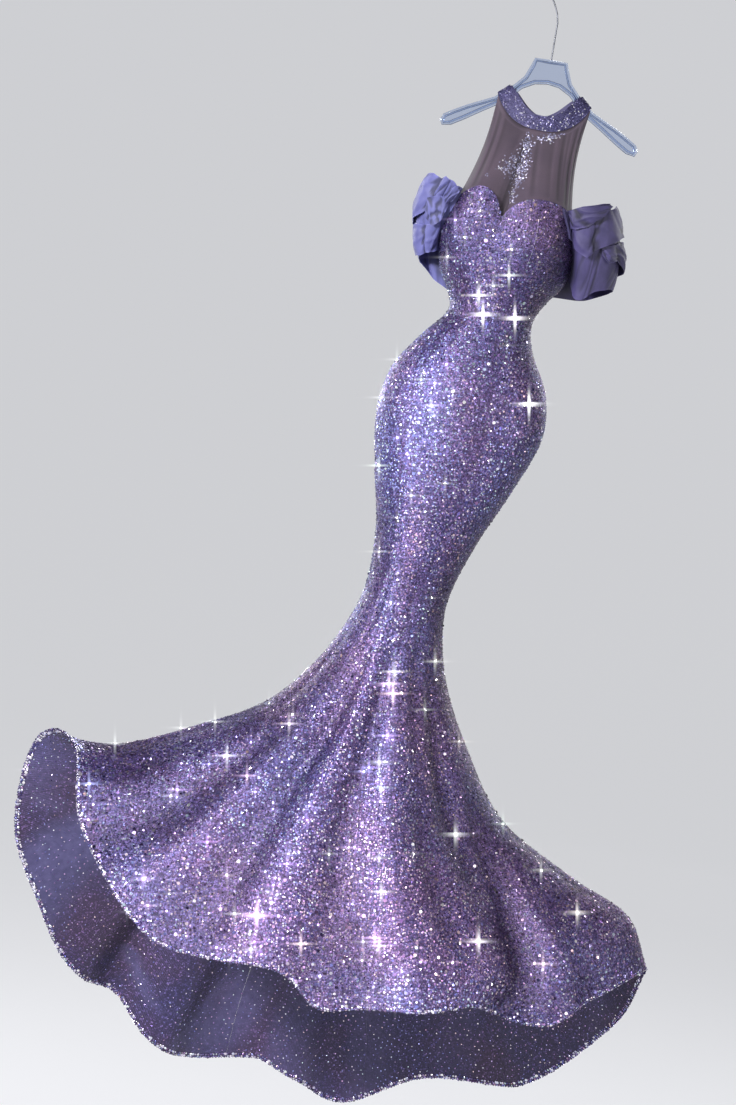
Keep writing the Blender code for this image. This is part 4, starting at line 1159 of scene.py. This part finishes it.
def behind_cups(degrees, share):
    row = LAST_RING / BODY_ROWS
    inside = []
    for level in (0.0, row):
        levels = np.full_like(degrees, level)
        inside.append(gown(degrees, levels)
                      - gown_normals(degrees, levels) * (CLOTH + YOKE_GAP))
    return inside[0] + (inside[1] - inside[0]) * share


def yoke(u, v):
    """The sheer front from the neckband's lower edge to the inside of the cups, v 0 to 1."""
    top_degrees = -YOKE_BAND_ANGLE + 2 * YOKE_BAND_ANGLE * u
    top = neckband(top_degrees, np.full_like(u, -YOKE_GAP / BAND_WIDTH))
    columns = len(YOKE_ANGLES) - 1
    low_degrees = np.interp(u * columns, np.arange(columns + 1), YOKE_ANGLES)
    edge = behind_cups(low_degrees, YOKE_EDGE)
    tuck = behind_cups(low_degrees, YOKE_TUCK)
    fall = np.clip(v / YOKE_FALL, 0.0, 1.0)
    tucked = np.clip((v - YOKE_FALL) / (1 - YOKE_FALL), 0.0, 1.0)[..., None]
    side = 2 * u - 1
    points = top * (1 - fall)[..., None] + edge * fall[..., None]
    points = points + tucked * (tuck - edge)
    belly = np.sin(np.pi * fall)
    points[..., 0] -= YOKE_HOLLOW * side * np.abs(side) * belly
    folds = np.sin(2 * np.pi * YOKE_FOLDS * u)
    points[..., 1] += YOKE_FOLD_DEPTH * side ** 2 * belly * folds
    return points


def yoke_surface(u, v):
    return yoke(u, 1.0 - v), surface_normals(yoke, u, 1.0 - v, .005, -.005)


# The spray of beads on the yoke: a stem's start and end, as shares across and down the yoke, its
# spread and its beads.
SPRAY = grid(6, """
    .42 .05 .43 .25 .022 74   .43 .22 .455 .45 .03 96   .45 .4 .44 .66 .034 110
    .44 .62 .47 .84 .018 34   .4 .36 .36 .52 .032 70   .37 .5 .32 .64 .02 30
    .5 .08 .6 .07 .022 40   .6 .04 .67 .05 .024 36   .61 .1 .62 .16 .01 8   .25 .72 .27 .8 .01 6""")
# Soft folds of the net, from its top to its foot, as shares across it.
YOKE_CREASES = table("""
    top foot width depth
    .12 .2 .024 .0011
    .17 .25 .02 -.0009
    .5 .6 .022 .0005
    .66 .74 .026 -.0008
    .72 .79 .018 .0009
    .79 .84 .018 -.0009
    .84 .875 .014 .0011
    .88 .905 .014 -.0009
    .92 .935 .012 .001""")


def yoke_creases(u, down):
    depth = np.zeros(u.shape)
    for crease in YOKE_CREASES:
        centre = crease["top"] + (crease["foot"] - crease["top"]) * down
        depth += crease["depth"] * bump(u - centre, crease["width"])
    return depth * np.sin(np.pi * np.clip(down / YOKE_FALL, 0, 1)) ** .7


def behind_band():
    """Two rows of the net's sewn edge, up behind the neckband."""
    degrees = np.linspace(-YOKE_BAND_ANGLE, YOKE_BAND_ANGLE, YOKE_GRID[0] + 1)
    rows = []
    for across in (.14, .02):
        share = np.full_like(degrees, across)
        rows.append(neckband(degrees, share)
                    - band_normals(degrees, share) * (CLOTH + SEAM_GAP * 2))
    return np.array(rows)


def make_yoke():
    def creased(u, v):
        points, normals = yoke_surface(u, v)
        return points - normals * yoke_creases(u, 1 - v)[:, None], normals

    net_points = np.concatenate([behind_band(), grid_of(creased, *YOKE_GRID)[0]])
    net_normals = grid_normals(net_points)
    net = shell("yoke_tulle", net_points, net_normals, TULLE, "tulle", [TULLE_NET], "yoke_front")
    # Painted shade in the net's folds and painted highlight on their ridges and along its two side
    # edges.
    folds = painted_fold_shading(net_points, net_normals, 3, YOKE_CAVITY, .7, 1.35)
    folds[:, [0, 1, -2, -1]] *= 1.4
    paint(net.data, "folds", np.tile(folds.ravel(), 2))
    u, v = [], []
    for u0, v0, u1, v1, spread, beads in SPRAY:
        share = RANDOM.uniform(size=int(beads))
        u.append(u0 + (u1 - u0) * share + RANDOM.normal(0, spread, int(beads)))
        v.append(v0 + (v1 - v0) * share + RANDOM.normal(0, spread, int(beads)))
    u, v = np.concatenate(u), np.clip(np.concatenate(v), .02, .85)
    points, normals = yoke_surface(u, 1 - v)
    spray = scattered("yoke_spray", points + normals * .0002, lean(normals, 9.0),
                      RANDOM.uniform(.0009, .0020, len(u)),
                      picked(len(u), BEAD_TINTS, 1.05) ** .35,
                      CRYSTAL, sides=6, height=.7)


# ---- sleeves ----
def sleeve_seat(side, end, down):
    top_angle, top_level, low_angle, low_level = SLEEVE_SEATS[side][end]
    angles = top_angle + (low_angle - top_angle) * down
    levels = np.maximum(top_level + (low_level - top_level) * down, 0.0)
    return gown(angles, levels) + gown_normals(angles, levels) * SLEEVE_GAP


def sleeve_ribs(side):
    tops, lows, outs = [], [], []
    for end in ("front", "back"):
        seat = sleeve_seat(side, end, np.array([0.0, 1.0]))
        tops.append(seat[0])
        lows.append(seat[1])
        outs.append(0.0)
    for row in SLEEVE_RIBS[side]:
        tops.insert(-1, row[:3])
        lows.insert(-1, row[3:6])
        outs.insert(-1, row[6] * OUTWARD[side])
    return np.array(tops), np.array(lows), np.array(outs)


RIBS = {side: sleeve_ribs(side) for side in SLEEVE_RIBS}


def open_curve(values, place):
    last = len(values) - 1
    place = np.asarray(place) * last
    start = np.clip(place.astype(int), 0, last - 1)
    share = (place - start)[..., None]
    before, far = np.maximum(start - 1, 0), np.minimum(start + 2, last)
    values = values.reshape(last + 1, -1)
    slope_start = (values[start + 1] - values[before]) / (start + 1 - before)[..., None]
    slope_end = (values[far] - values[start]) / (far - start)[..., None]
    return hermite(values[start], values[start + 1], slope_start, slope_end, share)


def sleeve(side, along, down):
    tops, lows, outs = RIBS[side]
    top, low = open_curve(tops, along), open_curve(lows, along)
    out = open_curve(outs, along)[..., 0]
    points = top + (low - top) * down[..., None]
    bow = 4 * down * (1 - down)
    free = np.sin(np.pi * np.clip(along, 0.0, 1.0))
    ripple = RUFFLE_DEPTH * np.sin(2 * np.pi * RUFFLE_WAVES * along) * free * (.4 + .6 * down)
    for end, place in (("front", 0.0), ("back", 1.0)):
        near = np.clip(1.0 - np.abs(along - place) / SEAT_REACH, 0.0, 1.0) ** 2
        first = 0 if end == "front" else -1
        straight = tops[first] + (lows[first] - tops[first]) * down[..., None]
        points += near[..., None] * (sleeve_seat(side, end, down) - straight)
    points[..., 0] += out * bow + OUTWARD[side] * ripple * .7
    points[..., 1] += np.where(along < .5, -1.0, 1.0) * ripple * np.abs(along - .5)
    return points


def sleeve_normals(side, along, down):
    return surface_normals(lambda first, second: sleeve(side, first, second), along, down,
                           .005, -.01 * OUTWARD[side])


def on_petal(ribs, u, v):
    """Place along the loop, place down it and lift of a petal's point."""
    place = u * (len(ribs) - 1)
    start = np.clip(place.astype(int), 0, len(ribs) - 2)
    share = (place - start)[:, None]
    top_along, top_down, top_lift, low_along, low_down, low_lift, bow = (
        ribs[start] * (1 - share) + ribs[start + 1] * share).T
    return (top_along + (low_along - top_along) * v, top_down + (low_down - top_down) * v,
            top_lift + (low_lift - top_lift) * v + bow * 4 * v * (1 - v))


def paint_fold_shading(cloth, points, normals):
    # Painted shade in the folds and painted highlight on ridges and free rims, stored as the
    # cloth's fold tones.
    tones = painted_rim_highlight(painted_fold_shading(points, normals, 5, SLEEVE_CAVITY, .45, 1.5), 1.3)
    paint(cloth.data, "folds", np.tile(tones.ravel(), 2))


def wrinkles(u, v, seed, depth):
    """Sharp little creases in the organza, running askew."""
    turns = np.random.default_rng(seed)
    height = np.zeros(np.shape(u))
    for number in range(3):
        across, down = turns.uniform(.5, 1.1) * turns.choice([-1, 1]), turns.uniform(.5, 1.3)
        phase = turns.uniform(0, 1)
        place = (across * u + down * v + phase + .12 * np.sin(3 * v + 4 * u + number)) % 1.0
        height += np.exp(-((place - .5) / .09) ** 2) * turns.choice([-1, 1])
    return depth * height


def make_sleeve(side):
    def surface(u, v):
        inner = np.clip(u, .006, .994)
        normals = sleeve_normals(side, inner, 1.0 - v)
        free = np.sin(np.pi * np.clip(u, 0, 1))[:, None]
        crumple = wrinkles(u * 6, v, len(side), LOOP_WRINKLE)[:, None]
        return sleeve(side, u, 1.0 - v) - normals * free * np.abs(crumple), normals

    points, normals = grid_of(surface, *LOOP_GRID)
    loop = shell(loop_name(side), points, normals, ORGANZA, "organza", [ORGANZAS[side]],
                 f"sleeve_{side}_loop")
    paint_fold_shading(loop, points, normals)
    for name, ribs in PETALS[side].items():
        make_petal(side, name, ribs)


def make_petal(side, name, ribs):
    lift = ORGANZA + SEAM_GAP

    def petal(u, v):
        along, down, rise = on_petal(ribs, u, v)
        base = np.clip(along, .02, .98)
        crumple = wrinkles(u * (len(ribs) - 1) / 3, v, len(name), PETAL_WRINKLE)
        free = np.clip(rise / .004, 0, 1)
        return sleeve(side, along, down) + sleeve_normals(side, base, down) * (
            lift + rise + np.maximum(crumple * free, -rise * .6))[:, None]

    def surface(u, v):
        return petal(u, 1.0 - v), surface_normals(petal, u, 1.0 - v, .01, -.01 * OUTWARD[side])

    points, normals = grid_of(surface, PETAL_COLUMNS_EACH * (len(ribs) - 1), PETAL_ROWS)
    ruffle = shell(f"sleeve_{side}_{name}_organza", points, normals, ORGANZA, "organza",
                   [ORGANZAS[side]], f"sleeve_{side}_petal_{name}")
    paint_fold_shading(ruffle, points, normals)


def make_gathers(side, from_seat, to_seat, top_down, low_down, pleats, depth):
    """A narrow strip of organza on the cup, pleated lengthwise."""
    toward = -OUTWARD[side]
    top_angle, top_level, low_angle, low_level = SLEEVE_SEATS[side]["front"]

    def surface(u, v):
        down = top_down + (low_down - top_down) * (1.0 - v)
        degrees = (top_angle + (low_angle - top_angle) * down
                   + toward * (from_seat + (to_seat - from_seat) * u))
        level = np.maximum(top_level + (low_level - top_level) * down, 0.0)
        pleat = depth * (.5 - .5 * np.cos(2 * np.pi * pleats * u))
        face = gown_normals(degrees, level)
        return gown(degrees, level) + face * (ORGANZA + SEAM_GAP + pleat)[:, None], face

    points, normals = grid_of(surface, PLEAT_COLUMNS * pleats, PLEAT_ROWS)
    strip = shell(f"sleeve_{side}_gathers_organza", points, normals, ORGANZA, "organza",
                  [ORGANZAS[side]], f"sleeve_{side}_gathers")
    paint_fold_shading(strip, points, normals)


def loop_name(side):
    return f"sleeve_{side}_loop_organza"


# ---- hanger ----
# x, z.
HANGER_OUTLINE = grid(2, """
    0 -.156   .032 -.156   .036 -.17   .046 -.195   .062 -.213   .095 -.242   .12 -.254
    .145 -.266   .17 -.28   .186 -.29   .191 -.302   .186 -.313   .168 -.309   .145 -.295
    .115 -.275   .085 -.256   .062 -.236   .045 -.219   .023 -.207   0 -.2035""")
HEAD_TOP = HANGER_OUTLINE[0][1]


def add_curve(name, route, closed, slot, material, node, turned=0.0, **settings):
    """A curve through these points, turned about X."""
    curve = bpy.data.curves.new(name, "CURVE")
    for key, value in settings.items():
        setattr(curve, key, value)
    spline = curve.splines.new("POLY")
    spline.points.add(len(route) - 1)
    for point, place in zip(spline.points, route):
        point.co = (*place, 1.0)
    spline.use_cyclic_u = closed
    curve.materials.append(material)
    thing = add_object(name, curve)
    thing.rotation_euler = (math.radians(turned), 0, 0)
    settle(thing, node)


def make_hanger():
    """A thin clear web inside a thick rounded rim."""
    half = list(HANGER_OUTLINE)
    points = half + [(-x, z) for x, z in reversed(half[1:-1])]
    web = {"dimensions": "2D", "fill_mode": "BOTH", "extrude": HANGER_HALF_DEPTH * .5,
           "bevel_depth": .0006, "offset": -HANGER_RIM * 1.2}
    rim = {"dimensions": "3D", "bevel_depth": HANGER_RIM, "bevel_resolution": 6}
    for name, route, settings in (("hanger_clear", points, web),
                                  ("hanger_rim", inset(points, HANGER_RIM), rim)):
        add_curve(name, [(x, z, 0.0) for x, z in route], True, "acrylic", ACRYLIC,
                  "hanger_body", 90, **settings)


def inset(points, distance):
    """A closed outline moved inwards by a distance."""
    corners = np.array(points)
    before, after = np.roll(corners, 1, axis=0), np.roll(corners, -1, axis=0)
    first, second = unit(corners - before), unit(after - corners)
    inward = unit(np.stack([first[:, 1] + second[:, 1], -first[:, 0] - second[:, 0]], axis=1))
    turned = np.einsum("ij,ij->i", inward, np.stack([first[:, 1], -first[:, 0]], axis=1))
    return [tuple(point) for point in corners + inward * distance / turned[:, None]]


def make_hook():
    radius = HOOK_RADIUS + WIRE_RADIUS
    route = [(0.0, HEAD_TOP + SEAM_GAP), *SHANK]
    for turned in range(0, HOOK_TURN + 1, HOOK_STEP):
        angle = math.radians(180 - turned)
        route.append((radius * math.cos(angle), -HOOK_RADIUS + radius * math.sin(angle)))
    route.append((radius * HOOK_TIP[0], -HOOK_RADIUS + radius * HOOK_TIP[1]))
    add_curve("hanger_wire", [(x, 0.0, z) for x, z in route], False, "hook_steel", STEEL,
              "hanger_hook", dimensions="3D", bevel_depth=WIRE_RADIUS, bevel_resolution=5,
              use_fill_caps=True)


# ---- stage, light and camera ----
CAMERA_PLACE = Vector((-.1893, -6.0, -1.1365))
CAMERA_ROLL = 9.5
VIEW_HEIGHT = 2.0995       # what the picture takes in at the gown's middle plane
SENSOR = 36.0
BACKDROP_GLOW = .56
FLOOR_Z, STAGE_REACH, STAGE_HEIGHT = -2.62, 17.0, 15.0
STAGE_CORNER, CORNER_STEPS, STAGE_SIDES = 5.0, 12, 96
LIGHT_TARGET = (-.15, 0, -1.2)
# Name, place, width, watts, colour.
LIGHTS = (
    ("key", (-2.8, -3.9, .0), .7, 235, (.97, .96, 1.0)),
    ("fill", (3.2, -3.4, -.4), 2.2, 24, (1.0, .93, .98)),
    ("rim_left", (-3.0, 2.2, -.2), 1.2, 45, (1, 1, 1)),
    ("rim_right", (3.0, 2.4, .6), 1.2, 24, (1, 1, 1)),
    ("back", (.9, 4.4, 2.6), 2.0, 90, (1, 1, 1)),
)
# Small lights that show only in gloss.
SPARK_LIGHTS = grid(3, """
    -2.9 -3.4 1.5   -1.6 -4.2 .4   -.4 -4.6 1.9   1.3 -4.4 1   2.9 -3.6 .2   -3.4 -2.6 -.9
    3.4 -2.4 -1   .6 -5 -.2   -2 -4.4 -1.3   .2 -4.2 3   -3.2 3.2 .9   3 3.4 1   .1 4.2 1.6
    -1.9 4 -.6   1.8 4.2 -.5""")
SPARK_SIZE, SPARK_POWER = .07, 12
GLARE = {"Threshold": 2.4, "Clamp": True, "Maximum": 30.0, "Strength": .75, "Iterations": 3,
         "Fade": .72, "Diagonal": False}


def make_stage():
    """A pale round floor that sweeps up into a wall on all sides."""
    flat_reach = STAGE_REACH - STAGE_CORNER
    profile = [(4.0, FLOOR_Z), (flat_reach, FLOOR_Z)]
    for step in range(1, CORNER_STEPS + 1):
        angle = math.radians(90 * step / CORNER_STEPS)
        profile.append((flat_reach + STAGE_CORNER * math.sin(angle),
                        FLOOR_Z + STAGE_CORNER * (1 - math.cos(angle))))
    profile.append((STAGE_REACH, FLOOR_Z + STAGE_HEIGHT))
    here = np.arange(STAGE_SIDES)
    after = (here + 1) % STAGE_SIDES
    points = [(0.0, 0.0, FLOOR_Z)]
    for radius, z in profile:
        points += [(radius * math.cos(t), radius * math.sin(t), z)
                   for t in here * 2 * np.pi / STAGE_SIDES]
    faces = [(0, 1 + n, 1 + (n + 1) % STAGE_SIDES) for n in range(STAGE_SIDES)]
    for ring in range(len(profile) - 1):
        low, high = 1 + ring * STAGE_SIDES, 1 + (ring + 1) * STAGE_SIDES
        faces += np.stack([low + here, high + here, high + after, low + after], axis=1).tolist()
    mesh = bpy.data.meshes.new("backdrop")
    mesh.from_pydata(points, [], faces)
    mesh.shade_smooth()
    shader = Shader("backdrop_paper")
    shader.set(Base_Color=(.34, .34, .35), Roughness=.9, Emission_Color=(.96, .97, 1.0),
               Emission_Strength=BACKDROP_GLOW)
    mesh.materials.append(shader.material)
    backdrop = add_object("backdrop", mesh)
    backdrop.visible_diffuse = False


def area_light(name, place, size, power, colour=(1, 1, 1)):
    light = bpy.data.lights.new(name, "AREA")
    light.shape = "DISK"
    light.size = size
    light.energy = power
    light.color = colour
    thing = add_object(name, light)
    thing.location = place
    aim = Vector(LIGHT_TARGET) - Vector(place)
    thing.rotation_euler = aim.to_track_quat("-Z", "Y").to_euler()
    return thing


def make_lights():
    lights = [area_light(*row) for row in LIGHTS]
    lights[-1].visible_transmission = False
    for number, place in enumerate(SPARK_LIGHTS):
        spark = area_light(f"spark_{number}", place, SPARK_SIZE, SPARK_POWER)
        spark.visible_diffuse = False
        spark.visible_transmission = False
    world = bpy.data.worlds.new("studio")
    bpy.context.scene.world = world
    world.use_nodes = True
    sky = world.node_tree.nodes["Background"].inputs
    sky["Color"].default_value = (.78, .80, .88, 1)
    sky["Strength"].default_value = .20


def make_sparkle():
    """Turns the brightest flashes into small four-pointed stars, as a lens does."""
    scene = bpy.context.scene
    scene.view_settings.view_transform = "Standard"
    scene.use_nodes = True
    nodes, links = scene.node_tree.nodes, scene.node_tree.links
    nodes.clear()
    layers = nodes.new("CompositorNodeRLayers")
    star = nodes.new("CompositorNodeGlare")
    star.glare_type = "SIMPLE_STAR"
    for name, value in GLARE.items():
        star.inputs[name].default_value = value
    final = nodes.new("CompositorNodeComposite")
    links.new(layers.outputs["Image"], star.inputs["Image"])
    links.new(star.outputs["Image"], final.inputs["Image"])


def make_camera():
    camera = bpy.data.cameras.new("camera")
    camera.sensor_fit = "VERTICAL"
    camera.sensor_height = SENSOR
    camera.lens = SENSOR * abs(CAMERA_PLACE.y) / VIEW_HEIGHT
    camera.clip_end = 60
    thing = add_object("camera", camera)
    thing.location = CAMERA_PLACE
    aim = Vector((0.0, 1.0, 0.0)).to_track_quat("-Z", "Y")
    roll = Quaternion((0.0, 0.0, 1.0), math.radians(CAMERA_ROLL))
    thing.rotation_mode = "QUATERNION"
    thing.rotation_quaternion = aim @ roll
    bpy.context.scene.camera = thing


make_camera()
make_stage()
make_lights()
make_sparkle()
for gore in GORES:
    make_gore(*gore)
make_neckband()
make_yoke()
for each_side in SLEEVE_RIBS:
    make_sleeve(each_side)
for gathers in GATHERS:
    make_gathers(*gathers)
make_hanger()
make_hook()
